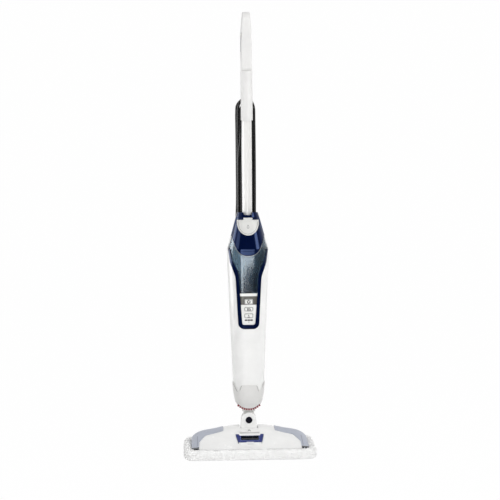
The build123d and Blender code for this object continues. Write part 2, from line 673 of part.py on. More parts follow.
def make_button(name, half, low, high):
    """A key whose face follows the housing, in front of its switch."""
    key = housing_skin(BUTTON_PROUD, -PANEL_SUNK - PANEL_THICK, WAIST)
    key = key & prism_y(button_outline(half, low, high, 0), -60, 0)
    save(name, key)


# ---- tank ------------------------------------------------------------------------------------
def tank_region(inset, bottom, back):
    """What the tank fills seen from the front: the frame's opening, then the full width."""
    stem = prism_y(frame_outline(FRAME_INNER, FRAME_INNER_CORNER, inset), -60, back)
    stem = stem & block(-80, 80, -60, back, bottom, SHOULDER_Z + 1.5)
    wide = block(-80, 80, -60, back, SHOULDER_Z + 0.6 + inset, TANK_TOP_Z - GAP)
    return stem + wide


def above_cap_line(drop):
    """Everything over the line where the cap meets the translucent tank."""
    half = [(x, z - drop) for x, z in CAP_LINE]
    points = [(80, 700), (80, 606 - drop)] + half[1:]
    loop = points + [(-x, z) for x, z in reversed(points)]
    return prism_y(outline(loop, [1, 1, 4, 6, 2, 2, 6, 4, 1, 1]), -60, 30)


def lid_outline(inset):
    """The letter-D shape of the filler lid."""
    half = LID_HALF - inset
    top = LID_TOP_Z - inset
    bottom = LID_BOTTOM_Z + inset
    shoulder = LID_TOP_Z - LID_SHOULDER
    deep = shoulder - bottom
    bowl = Pos(0, shoulder) * Ellipse(half, deep)
    bowl = bowl & (Pos(0, shoulder - deep / 2) * Rectangle(3 * half, deep))
    return bowl + Pos(0, (top + shoulder) / 2) * Rectangle(2 * half, top - shoulder)


def hinge_y():
    """The lid's hinge axis lies on the tank's face."""
    return front_face(LID_HINGE_Z) + TANK_SUNK - 0.6


def make_tank():
    outer = housing(-TANK_SUNK, WAIST, TOP) & tank_region(GAP, TANK_BOTTOM_Z, TANK_BACK_Y)
    room = housing(-TANK_SUNK - TANK_WALL, WAIST, TOP) & tank_region(
        GAP + TANK_WALL, TANK_BOTTOM_Z + TANK_WALL, TANK_BACK_Y - TANK_WALL)
    room = room & block(-80, 80, -60, 60, 0, TANK_TOP_Z - 3)
    hollow = outer - room
    top = above_cap_line(0)
    seal_zone = above_cap_line(SEAL_THICK)
    tank = hollow - seal_zone
    valve_hole = rod_y(0, TANK_BACK_Y - 6, TANK_BACK_Y + 1, VALVE_Z, 4.0)
    save("tank_shell", tank - valve_hole)
    save("tank_seal", (hollow & seal_zone) - top)
    valve = rod_y(0, TANK_BACK_Y - 4, TANK_BACK_Y + 9, VALVE_Z, 4.0)
    valve += rod_y(0, TANK_BACK_Y, TANK_BACK_Y + 4, VALVE_Z, 6.0)
    valve -= rod_y(0, TANK_BACK_Y - 5, TANK_BACK_Y + 10, VALVE_Z, 2.2)
    save("tank_valve", valve)
    cap = hollow & top
    recess = prism_y(lid_outline(0), -60, 30)
    deep = TANK_SUNK + LID_THICK + 0.6
    cap -= recess & housing_skin(-TANK_SUNK + 2, -deep, TOP)
    pan = housing_skin(-deep, -deep - TANK_WALL, TOP)
    pan = pan & prism_y(lid_outline(-1.5), -60, TANK_BACK_Y - 1)
    cap += pan & outer
    mouth = RectangleRounded(2 * MOUTH_HALF, MOUTH_HIGH, 9)
    cap -= prism_y(Pos(0, (LID_TOP_Z + LID_BOTTOM_Z) / 2 + 1) * mouth, -60, TANK_BACK_Y - 4)
    y = hinge_y()
    tab_room = LID_TAB_HALF + 0.3
    cap -= block(-tab_room, tab_room, -60, y + 4.2, LID_TOP_Z - 1, TANK_TOP_Z + 1)
    lug = block(tab_room, LID_TAB_HALF + 5, y, y + 6, LID_HINGE_Z - 2.6, TANK_TOP_Z - GAP)
    lug += rod_x(tab_room, LID_TAB_HALF + 5, y, LID_HINGE_Z, 2.5)
    for ear in both_sides(lug):
        cap += ear - block(-80, 80, -60, 60, TANK_TOP_Z - GAP, 700)
    cap -= rod_x(-LID_TAB_HALF - 3.6, LID_TAB_HALF + 3.6, y, LID_HINGE_Z, LID_PIN_R)
    save("tank_cap", cap)
    save("lid_pin", rod_x(-LID_TAB_HALF - 3.5, LID_TAB_HALF + 3.5, y, LID_HINGE_Z, LID_PIN_R))


def make_lid():
    y = hinge_y()
    plate = housing_skin(-TANK_SUNK + 0.5, -TANK_SUNK - LID_THICK, TOP)
    lid = plate & prism_y(lid_outline(GAP + 0.1), -60, TANK_BACK_Y - 1)
    dish = housing_skin(-TANK_SUNK + 2, -TANK_SUNK - 0.3, TOP)
    lid -= dish & prism_y(lid_outline(GAP + LID_RIM), -60, 20)
    lid += rod_x(-LID_TAB_HALF, LID_TAB_HALF, y, LID_HINGE_Z, LID_BARREL_R)
    lid += block(-LID_TAB_HALF, LID_TAB_HALF, y - 1.6, y + 1.2, LID_TOP_Z - 3, LID_HINGE_Z)
    lid -= rod_x(-LID_TAB_HALF - 1, LID_TAB_HALF + 1, y, LID_HINGE_Z, LID_PIN_R + RUNNING_FIT)
    save("filler_lid", lid)


def make_bay():
    """Wall behind the tank and floor under it, whose front lip shows as a light bar."""
    back = TANK_BACK_Y + 0.6
    wall = block(-80, 80, back, back + BAY_WALL, BAY_FLOOR_Z, 574)
    wall_form = housing(-WALL - SEAM, WAIST, TOP) & wall
    floor_plan = prism_y(frame_outline(FRAME_INNER, FRAME_INNER_CORNER, 0.05), -60, back)
    floor = housing(-0.4, WAIST) & floor_plan
    floor = floor & block(-80, 80, -60, back + 0.1, BAY_FLOOR_Z, TANK_BOTTOM_Z - 0.5)
    bay = wall_form + floor
    bay -= rod_y(0, back - 1, back + 4, VALVE_Z, 6.6)
    save("tank_bay", bay)
    seat = rod_y(0, back + BAY_WALL, back + 15, VALVE_Z, 10)
    seat -= rod_y(0, back, back + 8.8, VALVE_Z, 6.6)
    seat -= rod_y(0, back, back + 16, VALVE_Z, HOSE_R - 1)
    save("valve_seat", seat)
    return back + 15


# ---- inside the body -------------------------------------------------------------------------
def make_works(seat_rear):
    low, high = BOILER_Z
    boiler = rod_z(0, BOILER_Y, low, high - 6, BOILER_R)
    boiler = fillet(boiler.edges(), 4)
    boiler += rod_z(0, BOILER_Y, high - 22, high - 16, BOILER_R + 3)
    boiler += rod_z(0, BOILER_Y, high - 7, high, 14)
    for side in (-1, 1):
        boiler += block(side * 16 - 4, side * 16 + 4, BOILER_Y - 3, BOILER_Y + 3,
                        high - 8, high + 4)
    save("boiler", boiler)
    low_p, high_p = PUMP_Z
    pump = rod_z(0, PUMP_Y, low_p, high_p - 8, PUMP_R)
    pump += block(-15, 15, PUMP_Y - 12, PUMP_Y + 12, low_p + 10, high_p - 16)
    pump += rod_z(0, PUMP_Y, high_p - 9, high_p, 7)
    save("pump", pump)
    route = FilletPolyline((0, seat_rear, VALVE_Z), (0, PUMP_Y, VALVE_Z), (0, PUMP_Y, high_p),
                           radius=9)
    save("water_hose", sweep(Plane(route @ 0, z_dir=route % 0) * Circle(HOSE_R), route))
    feed = FilletPolyline((0, BOILER_Y, high), (0, BOILER_Y, high + 12),
                          (0, PUMP_Y, low_p - 14), (0, PUMP_Y, low_p), radius=7)
    save("boiler_feed_hose", sweep(Plane(feed @ 0, z_dir=feed % 0) * Circle(HOSE_R), feed))
    save("steam_hose", rod_z(0, BOILER_Y, NECK_TOP_Z, low, 4.0))


# ---- collar and tube -------------------------------------------------------------------------
def make_collar():
    outer = housing(-0.3, TOP) & block(-80, 80, SPLIT_Y, 90, COLLAR_Z + 0.1, COLLAR_TOP)
    outer += housing(-0.3, TOP) & block(-80, 80, -60, SPLIT_Y + 0.1, TANK_TOP_Z, COLLAR_TOP)
    room = block(-80, 80, SPLIT_Y + 2.6, 90, COLLAR_Z - 1, COLLAR_TOP - 5)
    inner = housing(-0.3 - WALL, TOP) & room
    collar = outer - inner
    collar += rod_z(0, TUBE_Y, COLLAR_Z + 0.1, COLLAR_TOP - 1, TUBE_R + 3) & outer
    collar -= rod_z(0, TUBE_Y, COLLAR_Z - 5, COLLAR_TOP + 5, TUBE_R)
    notch = outline([(-15.0, COLLAR_TOP + 5), (15.0, COLLAR_TOP + 5), (9.5, COLLAR_NOTCH_Z),
                     (-9.5, COLLAR_NOTCH_Z)], [1, 1, 3, 3])
    collar -= prism_y(notch, -60, TUBE_Y)
    save("top_collar", collar)


def make_tube():
    tube = rod_z(0, TUBE_Y, TUBE_BOTTOM, TUBE_TOP, TUBE_R)
    tube -= rod_z(0, TUBE_Y, TUBE_BOTTOM - 1, TUBE_TOP + 1, TUBE_R - TUBE_WALL)
    save("handle_tube", tube)


# ---- handle ----------------------------------------------------------------------------------
def loop_outline(points, grow):
    """Side view of the loop, each side moved out by grow."""
    face = outline([(y, z) for y, z, radius in points], [radius for y, z, radius in points])
    return offset(face, amount=grow) if grow else face


def handle_form(inset):
    """Sleeve and loop together, inset all round."""
    ring = prism_x(loop_outline(LOOP_OUTSIDE, -inset), -20, 20)
    ring -= prism_x(loop_outline(LOOP_INSIDE, inset), -21, 21)
    right = [(half - inset, z) for z, half in HANDLE_WIDTHS]
    side = Spline(*right)
    mirror_side = Spline(*[(-x, z) for x, z in reversed(right)])
    top = Line(right[-1], (-right[-1][0], right[-1][1]))
    bottom = Line((-right[0][0], right[0][1]), right[0])
    profile = make_face(side + top + mirror_side + bottom)
    ring = ring & prism_y(profile, -20, 160)
    return fillet(ring.edges(), HANDLE_EDGE - inset)


def make_handle():
    full = handle_form(0)
    sleeve = rod_z(0, TUBE_Y, SLEEVE_BOTTOM, 1012, SLEEVE_R)
    grip_zone = block(-30, 30, 72, 130, 1066, 1120)
    core = handle_form(GRIP_THICK)
    soft = (full - core) & grip_zone
    rigid = (full - soft) + sleeve
    rigid -= rod_z(0, TUBE_Y, SLEEVE_BOTTOM - 1, TUBE_TOP, TUBE_R)
    lift = make_face(Polyline((-20, SLEEVE_BOTTOM - 2), (-20, SLEEVE_BOTTOM + 4),
                              (-8, SLEEVE_BOTTOM), (8, SLEEVE_BOTTOM), (20, SLEEVE_BOTTOM + 4),
                              (20, SLEEVE_BOTTOM - 2), close=True))
    rigid -= prism_y(lift, -20, 80)
    save("soft_grip", soft)
    right = rigid & block(0.02, 40, -20, 160, 800, 1200)
    left = rigid & block(-40, -0.02, -20, 160, 800, 1200)
    save("right_handle", right)
    save("left_handle", left)


def make_cord_clip():
    y = 24.0
    z = 1106.0
    clip = block(-16.4, -13.0, y - 5, y + 5, z - 5, z + 5) - handle_form(0)
    save("cord_clip", clip)


# ---- cord hooks, hank and plug ---------------------------------------------------------------
def arch(z, up, y0, y1):
    """Half of a thick ring that the cord bends round, open on its other side."""
    half_ring = rod_y(0, y0, y1, z, HOOK_R) - rod_y(0, y0 - 1, y1 + 1, z, HOOK_R - 3.4)
    low = z if up else z - 60
    keep = block(-60, 60, y0 - 1, y1 + 1, low, low + 60)
    web = block(-HOOK_R + 1, HOOK_R - 1, y0, y1, z - 1.7, z + 1.7)
    return (half_ring & keep) + (web & rod_y(0, y0, y1, z, HOOK_R - 0.2))


def flange(z, up, y0, y1):
    disc = rod_y(0, y0, y1, z, HOOK_R + HOOK_FLANGE)
    low = z - 2 if up else z - 58
    return disc & block(-60, 60, y0 - 1, y1 + 1, low, low + 60)


def make_hooks():
    plate_y = TUBE_Y + SLEEVE_R
    upper = arch(UPPER_HOOK_Z, True, plate_y + 3.4, HOOK_END + 0.2)
    upper += flange(UPPER_HOOK_Z, True, HOOK_END, HOOK_END + 3)
    upper += rod_y(0, plate_y + 1.2, plate_y + 3.6, UPPER_HOOK_Z, HOOK_R)
    upper -= rod_y(0, plate_y, HOOK_END + 5, UPPER_HOOK_Z, 3.0 + RUNNING_FIT)
    save("upper_cord_hook", upper)
    stud = rod_y(0, TUBE_Y + TUBE_R, HOOK_END + 3.2, UPPER_HOOK_Z, 3.0)
    stud -= rod_z(0, TUBE_Y, UPPER_HOOK_Z - 10, UPPER_HOOK_Z + 10, SLEEVE_R + 0.05)
    boss = rod_y(0, TUBE_Y, plate_y + 1.0, UPPER_HOOK_Z, 8.0)
    boss -= rod_z(0, TUBE_Y, UPPER_HOOK_Z - 10, UPPER_HOOK_Z + 10, SLEEVE_R + 0.02)
    head = rod_y(0, HOOK_END + 3.4, HOOK_END + 5.0, UPPER_HOOK_Z, 5.5)
    save("hook_stud", stud + boss + head)
    lower = arch(LOWER_HOOK_Z, False, 40, HOOK_END + 0.2)
    lower += flange(LOWER_HOOK_Z, False, HOOK_END, HOOK_END + 3)
    lower -= housing(-0.28, TOP)
    save("lower_cord_hook", lower)


def make_hank():
    """The wound cord as one ring of its outer shape."""
    inner = HOOK_R + 0.4
    outer = inner + HANK_WIDTH
    y0 = HANK_FRONT
    y1 = HANK_FRONT + HANK_DEPTH

    def track(radius, bow):
        middle = (UPPER_HOOK_Z + LOWER_HOOK_Z) / 2
        right = Spline((radius, LOWER_HOOK_Z), (radius + bow, middle), (radius, UPPER_HOOK_Z),
                       tangents=((0, 1), (0, 1)))
        left = Spline((-radius, UPPER_HOOK_Z), (-radius - bow, middle), (-radius, LOWER_HOOK_Z),
                      tangents=((0, -1), (0, -1)))
        top = ThreePointArc((radius, UPPER_HOOK_Z), (0, UPPER_HOOK_Z + radius),
                            (-radius, UPPER_HOOK_Z))
        bottom = ThreePointArc((-radius, LOWER_HOOK_Z), (0, LOWER_HOOK_Z - radius),
                               (radius, LOWER_HOOK_Z))
        return make_face(right + top + left + bottom)

    ring = prism_y(track(outer, 0.6), y0, y1) - prism_y(track(inner, 0.3), y0 - 1, y1 + 1)
    save("cord_hank", ring)
    return outer


def corner_radii(points):
    """0.45 of the shorter run beside each corner, over the tangent of half the turn."""
    radii = []
    for before, corner, after in zip(points, points[1:], points[2:]):
        first = Vector(*corner) - Vector(*before)
        second = Vector(*after) - Vector(*corner)
        turn = radians(first.get_angle(second))
        radii.append(0.45 * min(first.length, second.length) / tan(turn / 2))
    return radii


def cord_tube(points):
    radii = corner_radii(points)
    route = FilletPolyline(*points, radius=radii)
    tube = sweep(Plane(route @ 0, z_dir=route % 0) * Circle(CORD_DIA / 2), route)
    ideal = pi * (CORD_DIA / 2) ** 2 * route.length
    print("cord radii", [round(radius) for radius in radii], "length", round(route.length),
          "volume share", round(tube.volume / ideal, 4))
    return tube


PLUG_X = 28.0
PLUG_Y = 80.0
PLUG_TOP = 548.0
RELIEF_LONG = 32.0


def make_cord():
    outer = make_hank()
    relief_top = RELIEF_Z + RELIEF_LONG
    relief = Pos(RELIEF_X, RELIEF_Y, RELIEF_Z + RELIEF_LONG / 2) * Cone(6.4, 4.6, RELIEF_LONG)
    relief += rod_z(RELIEF_X, RELIEF_Y, RELIEF_Z - 12, RELIEF_Z + 0.1, 3.9)
    save("strain_relief", relief)
    save("cord_lead", cord_tube([
        (RELIEF_X, RELIEF_Y, relief_top), (RELIEF_X, RELIEF_Y + 1, 585), (-26.5, 90, 625),
        (-24.5, 94, 670), (-24.8, 94, 760), (-25.5, 94, 800), (-29.5, 88, 835),
        (-29, 80, 865)]))
    tail_x = outer - CORD_DIA / 2 + 0.4
    save("cord_tail", cord_tube([
        (tail_x, PLUG_Y, LOWER_HOOK_Z + 8), (tail_x + 1.2, PLUG_Y + 0.5, LOWER_HOOK_Z - 12),
        (PLUG_X + 0.5, PLUG_Y, LOWER_HOOK_Z - 32), (PLUG_X, PLUG_Y, PLUG_TOP)]))
    body = Pos(PLUG_X, PLUG_Y, PLUG_TOP - 36) * extrude(RectangleRounded(23, 15, 6), 22)
    neck = Pos(PLUG_X, PLUG_Y, PLUG_TOP - 7) * Cone(6.8, 4.4, 14)
    save("plug", fillet(body.edges().group_by(Axis.Z)[0], 1.5) + neck)
    blade = block(PLUG_X + 5.35, PLUG_X + 6.85, PLUG_Y - 3.2, PLUG_Y + 3.2,
                  PLUG_TOP - 53, PLUG_TOP - 36)
    blades = [blade, Pos(-12.2, 0, 0) * blade]
    save("plug_blades", *blades)


# ---- build -----------------------------------------------------------------------------------
if __name__ == "__main__":
    make_pad()
    make_base()
    make_cover()
    make_pedal()
    make_yoke()
    make_neck()
    make_shells()
    make_boot()
    make_vent_ring()
    make_frame()
    make_panel()
    make_button("power_button", *POWER_BUTTON)
    for button, sizes in BUTTONS.items():
        make_button(button, *sizes)
    make_tank()
    make_lid()
    make_works(make_bay())
    make_collar()
    make_tube()
    make_handle()
    make_cord_clip()
    make_hooks()
    make_cord()
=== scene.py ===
"""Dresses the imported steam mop: finishes, fleece pad, wound cord, key marks and stage."""

import random
from math import cos, hypot, pi, radians, sin, tan, tau

import bpy
from bpy.props import FloatProperty, FloatVectorProperty, IntProperty, PointerProperty
from mathutils import Matrix, Vector, noise


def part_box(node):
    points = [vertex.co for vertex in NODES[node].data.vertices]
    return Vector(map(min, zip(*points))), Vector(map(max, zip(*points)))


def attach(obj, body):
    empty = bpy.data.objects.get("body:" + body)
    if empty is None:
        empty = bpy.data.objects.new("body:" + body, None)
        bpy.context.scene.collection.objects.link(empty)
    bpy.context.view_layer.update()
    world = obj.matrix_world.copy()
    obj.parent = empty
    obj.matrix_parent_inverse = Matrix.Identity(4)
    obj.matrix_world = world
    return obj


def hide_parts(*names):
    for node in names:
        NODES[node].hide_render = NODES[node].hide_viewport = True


bl_info = {
    "name": "Steam Mop Dresser",
    "version": (1, 0, 0),
    "blender": (4, 5, 0),
    "location": "View3D > Sidebar > Steam Mop",
    "description": "Builds the finishes, fleece pad, wound cord and stage of an upright steam mop",
    "category": "Object",
}

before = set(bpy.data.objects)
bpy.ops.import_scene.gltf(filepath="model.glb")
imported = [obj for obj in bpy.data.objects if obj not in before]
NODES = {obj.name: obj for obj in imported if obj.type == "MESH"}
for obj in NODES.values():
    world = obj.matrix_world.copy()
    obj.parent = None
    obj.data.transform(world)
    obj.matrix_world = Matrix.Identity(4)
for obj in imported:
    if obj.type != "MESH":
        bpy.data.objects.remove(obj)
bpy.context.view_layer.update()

REARWARD, DOWNWARD = (0, 1, 0), (0, 0, -1)      # directions of the rays that find a surface
WHITE = (1.0, 1.0, 1.0, 1.0)
MIX_FACTOR, MIX_FIRST, MIX_SECOND, MIX_RESULT = 0, 6, 7, 2      # sockets for mixing colours


def colour_property(name, description, default):
    return FloatVectorProperty(name=name, description=description, default=default, size=3,
                               min=0.0, max=1.0, subtype="COLOR")


def length_property(name, description, default):
    return FloatProperty(name=name, description=description, default=default, min=0.0,
                         subtype="DISTANCE", unit="LENGTH")


def angle_property(name, description, degrees):
    return FloatProperty(name=name, description=description, default=radians(degrees),
                         subtype="ANGLE", unit="ROTATION")


class MopColours(bpy.types.PropertyGroup):
    """Colours of the mop's plastics, metals and fabric."""
    white_shell: colour_property("White shell", "Gloss white housing", (0.90, 0.90, 0.89))
    handle_white: colour_property("White handle", "Satin white grip loop", (0.79, 0.785, 0.775))
    boot_grey: colour_property("Boot grey", "Pale boot at the foot", (0.75, 0.745, 0.73))
    light_grey: colour_property("Light grey", "Filler lid, neck and clip", (0.69, 0.69, 0.67))
    trim_grey: colour_property("Trim grey", "Slanted trims on the head", (0.42, 0.45, 0.53))
    trim_dark: colour_property("Trim tips", "Dark feet of the trims", (0.008, 0.014, 0.024))
    navy: colour_property("Navy", "Tank frame, tank cap and collar", (0.0004, 0.0036, 0.028))
    pedal_blue: colour_property("Pedal blue", "Scrub pedal", (0.022, 0.034, 0.17))
    tank_tint: colour_property("Tank tint", "Clear plastic of the water tank", (0.50, 0.62, 0.70))
    tube_silver: colour_property("Tube silver", "Painted upper tube", (0.84, 0.83, 0.81))
    grip_grey: colour_property("Grip grey", "Soft grip on the handle", (0.62, 0.63, 0.63))
    panel_light: colour_property("Light panel", "Lower control panel and keys", (0.84, 0.84, 0.82))
    panel_dark: colour_property("Dark band", "Band behind the power key", (0.10, 0.096, 0.085))
    mark_ink: colour_property("Mark ink", "Printed rings and symbols", (0.012, 0.012, 0.014))
    vent_red: colour_property("Vent red", "Ring of vents at the foot", (0.24, 0.002, 0.014))
    cord_black: colour_property("Cord black", "Cord, relief and plug", (0.006, 0.006, 0.0065))
    fleece: colour_property("Fleece", "Fibres of the pad", (0.985, 0.985, 0.98))
    fleck: colour_property("Fleck", "Grey flecks in the fleece", (0.55, 0.55, 0.57))
    pin_dark: colour_property("Pin cap", "Cap over the swivel pin", (0.0012, 0.0010, 0.008))
    inner_black: colour_property("Inner black", "Plastic inside the mop", (0.03, 0.03, 0.032))


class MopPad(bpy.types.PropertyGroup):
    """Sizes of the fleece pad."""
    pile: length_property("Pile", "Length of a tuft of fleece", 0.0040)
    tuft_width: length_property("Tuft width", "Width of a tuft at its root", 0.0011)
    tufts: IntProperty(name="Tufts", description="Number of tufts of fleece", default=11000,
                       min=100)
    lumps: length_property("Lumps", "Height of the soft lumps under the pile", 0.0011)
    stitch: length_property("Stitch", "Length of one stitch of the pad's seam", 0.0034)


class MopCord(bpy.types.PropertyGroup):
    """Sizes of the wound cord."""
    diameter: length_property("Diameter", "Thickness of the cord", 0.0064)
    inner_turn: length_property("Inner turn", "Radius of the inner turns round the hooks", 0.0150)
    outer_turn: length_property("Outer turn", "Radius of the outer turns round the hooks", 0.0216)
    crown: length_property("Crown", "Height of the outer turns over the upper hook", 0.0350)
    slack: length_property("Slack", "How far the outer strands bow out", 0.0006)


class MopStage(bpy.types.PropertyGroup):
    """Camera and lamps."""
    distance: length_property("Distance", "From the mop to the camera", 3.6)
    height: length_property("Height", "Camera above the floor", 0.80)
    tilt: angle_property("Tilt", "How far the camera looks down", 4.0995)
    turn: angle_property("Turn", "Camera's turn to the left round the mop", 2.6)
    aside: angle_property("Aside", "How far the camera looks past the mop's side", 0.08)
    roll: angle_property("Roll", "Camera's roll", -0.36)
    field: angle_property("Field of view", "Camera's field of view", 20.708)
    key_power: FloatProperty(name="Key lamp", description="Power of the key lamp in watts",
                             default=48.0, min=0.0)
    fill_power: FloatProperty(name="Fill lamp", description="Power of the fill lamp in watts",
                              default=15.0, min=0.0)


# ---- shader building ----
def feed(tree, node, values):
    """Fills a node's inputs, by name or number: sockets are linked, other values are set."""
    for name, value in values.items():
        if isinstance(value, bpy.types.NodeSocket):
            tree.links.new(value, node.inputs[name])
        else:
            node.inputs[name].default_value = value


def put(tree, kind, values=None, **settings):
    """Adds a shader node, with its settings and its inputs."""
    made = tree.nodes.new("ShaderNode" + kind)
    for name, value in settings.items():
        setattr(made, name, value)
    feed(tree, made, values or {})
    return made


def calc(tree, operation, first, second=0.0, third=0.0):
    """One arithmetic step, as a socket."""
    return put(tree, "Math", {0: first, 1: second, 2: third}, operation=operation).outputs[0]


def spread(tree, value, low, high, to_low=0.0, to_high=1.0):
    """Maps a value from one range to another, as a socket."""
    ranges = dict(enumerate((value, low, high, to_low, to_high)))
    return put(tree, "MapRange", ranges).outputs["Result"]


def tint(tree, share, first, second):
    """Mixes two colours, as a socket."""
    first, second = (colour if isinstance(colour, bpy.types.NodeSocket) else (*colour[:3], 1.0)
                     for colour in (first, second))
    made = put(tree, "Mix", {MIX_FACTOR: share, MIX_FIRST: first, MIX_SECOND: second},
               data_type="RGBA")
    return made.outputs[MIX_RESULT]


def shade(colour, share):
    """A colour made darker, or a little lighter."""
    return [part * share for part in colour]


def own_place(tree):
    """The place on the piece, in the mop's own frame, as a socket."""
    return put(tree, "TexCoord").outputs["Object"]


def axes(tree, vector):
    return put(tree, "SeparateXYZ", {0: vector}).outputs


def cloud(tree, place, scale, **inputs):
    """Noise at a scale, as a socket."""
    return put(tree, "TexNoise", {"Vector": place, "Scale": scale, **inputs}).outputs[0]


def cells(tree, place, scale):
    """Distance to the middle of small cells, as a socket."""
    return put(tree, "TexVoronoi", {"Vector": place, "Scale": scale}).outputs["Distance"]


def rounded_normal(tree, radius):
    return put(tree, "Bevel", {"Radius": radius}, samples=4).outputs[0]


def bumped(tree, height, distance, rounding=None):
    """A bumped normal, on edges that are rounded where a radius is given."""
    base = {"Normal": rounded_normal(tree, rounding)} if rounding else {}
    return put(tree, "Bump", {"Height": height, "Distance": distance, **base}).outputs[0]


def any_of(tree, first, *others):
    """The largest of some masks."""
    for other in others:
        first = calc(tree, "MAXIMUM", first, other)
    return first


def grain_effect(tree, given):
    """Fine moulded texture: a height for bumps and a slow mask for tone and gloss."""
    place = own_place(tree)
    fine = cloud(tree, place, given["Scale"], Detail=2.0, Roughness=0.6)
    height = calc(tree, "MULTIPLY_ADD", cells(tree, place, given["Scale"]), 0.5, fine)
    return {"Height": height,
            "Patches": cloud(tree, place, given["Patch"], Detail=4.0, Roughness=0.55)}


def worn_effect(tree, given):
    """Where edges are rubbed: 1 on sharp edges, broken up by noise."""
    real = put(tree, "NewGeometry").outputs["Normal"]
    rounded = rounded_normal(tree, given["Reach"])
    dot = put(tree, "VectorMath", {0: real, 1: rounded}, operation="DOT_PRODUCT").outputs["Value"]
    breakup = cloud(tree, own_place(tree), 160.0, Detail=5.0)
    edge, patchy = spread(tree, dot, 0.985, 0.80), spread(tree, breakup, 0.42, 0.62)
    mask = calc(tree, "MULTIPLY", edge, patchy)
    return {"Mask": calc(tree, "MULTIPLY", mask, given["Amount"])}


def dust_effect(tree, given):
    """Thin dust that settles on faces that look up."""
    up = axes(tree, put(tree, "NewGeometry").outputs["Normal"])["Z"]
    specks = cloud(tree, own_place(tree), 75.0, Detail=6.0, Roughness=0.7)
    cover = calc(tree, "MULTIPLY", spread(tree, up, 0.35, 1.0), spread(tree, specks, 0.38, 0.72))
    return {"Mask": calc(tree, "MULTIPLY", cover, given["Amount"])}


EFFECTS = {
    "Moulded Grain": (grain_effect, {"Scale": 1400.0, "Patch": 22.0}),
    "Rubbed Edges": (worn_effect, {"Reach": 0.0012, "Amount": 1.0}),
    "Settled Dust": (dust_effect, {"Amount": 0.2}),
}


def effect(tree, name, **values):
    """Places a shared effect group, which is built at its first use, and gives its outputs."""
    group = bpy.data.node_groups.get(name)
    if not group:
        build, settings = EFFECTS[name]
        group = bpy.data.node_groups.new(name, "ShaderNodeTree")
        for label, value in settings.items():
            socket = group.interface.new_socket(name=label, in_out="INPUT",
                                                socket_type="NodeSocketFloat")
            socket.default_value = value
        results = build(group, group.nodes.new("NodeGroupInput").outputs)
        for label in results:
            group.interface.new_socket(name=label, in_out="OUTPUT", socket_type="NodeSocketFloat")
        feed(group, group.nodes.new("NodeGroupOutput"), results)
    return put(tree, "Group", values, node_tree=group).outputs


def patchy_tone(tree, grained, deep, light):
    """A colour that changes slowly over the piece."""
    return tint(tree, spread(tree, grained["Patches"], 0.3, 0.7), deep, light)


def blank_material(name):
    """A material with only its shader, and the output joined."""
    material = bpy.data.materials.new(name)
    material.use_nodes = True
    tree = material.node_tree
    tree.nodes.clear()
    shader = put(tree, "BsdfPrincipled")
    put(tree, "OutputMaterial", {"Surface": shader.outputs[0]})
    return material, tree, shader


def finish(recipe):
    """Turns a recipe for a shader's inputs into a function that makes a named material."""
    def make(name, *args, **settings):
        material, tree, shader = blank_material(name)
        feed(tree, shader, recipe(tree, *args, **settings))
        return material
    return make


@finish
def plastic(tree, colour, roughness, depth=0.00002, wear=0.4, dust=0.03,
            rounding=0.0007, coat=0.0, shine=0.5, cast=(1.0, 1.0, 1.0)):
    """Injection-moulded plastic: fine grain, softly rounded edges, rubbed corners, thin dust."""
    grained = effect(tree, "Moulded Grain")
    rubbed = effect(tree, "Rubbed Edges", Amount=wear)["Mask"]
    dusty = effect(tree, "Settled Dust", Amount=dust)["Mask"]
    toned = patchy_tone(tree, grained, shade(colour, 0.95),
                        [min(1.0, part) for part in shade(colour, 1.03)])
    worn = tint(tree, rubbed, toned, [part + (0.72 - part) * 0.12 for part in colour])
    gloss = spread(tree, grained["Patches"], 0.25, 0.75, roughness - 0.035, roughness + 0.045)
    scuffed = calc(tree, "MULTIPLY_ADD", rubbed, 0.18, gloss)
    return {
        "Base Color": tint(tree, dusty, worn, (0.56, 0.55, 0.53)),
        "Roughness": calc(tree, "MULTIPLY_ADD", dusty, 0.45, scuffed),
        "Normal": bumped(tree, grained["Height"], depth, rounding),
        "Coat Weight": coat, "Coat Roughness": 0.08,
        "Specular IOR Level": shine, "Specular Tint": (*cast, 1.0)}


def thin_ink_and_painted_shadow(name, colour, roughness=0.4):
    """A printed or engraved line, also used for painted shadow lines: smooth, with no wear and no
    dust.
    """
    return plastic(name, colour, roughness, depth=0.000002, wear=0.0, dust=0.0, rounding=0.00005)


@finish
def metal(tree, colour, roughness, along=(1.0, 1.0, 0.02)):
    """Metal with fine drawn lines along one direction."""
    stretched = put(tree, "VectorMath", {0: own_place(tree), 1: along}, operation="MULTIPLY")
    lines = cloud(tree, stretched.outputs[0], 2600.0, Detail=3.0)
    grained = effect(tree, "Moulded Grain", Scale=900.0)
    return {
        "Base Color": patchy_tone(tree, grained, shade(colour, 0.93), colour),
        "Roughness": spread(tree, lines, 0.3, 0.7, roughness - 0.06, roughness + 0.08),
        "Normal": bumped(tree, lines, 0.00001, rounding=0.0004), "Metallic": 1.0}


@finish
def painted_tube(tree, colour):
    """Satin silver-white paint with a faint metal flake."""
    grained = effect(tree, "Moulded Grain", Scale=3200.0, Patch=9.0)
    dusty = effect(tree, "Settled Dust", Amount=0.1)["Mask"]
    flake = spread(tree, cells(tree, own_place(tree), 5200.0), 0.1, 0.7)
    gloss = spread(tree, grained["Patches"], 0.25, 0.75, 0.32, 0.40)
    return {
        "Base Color": tint(tree, flake, colour, shade(colour, 0.97)),
        "Roughness": calc(tree, "MULTIPLY_ADD", dusty, 0.3, gloss),
        "Normal": bumped(tree, grained["Height"], 0.000002),
        "Metallic": 0.12, "Coat Weight": 0.3, "Coat Roughness": 0.15}


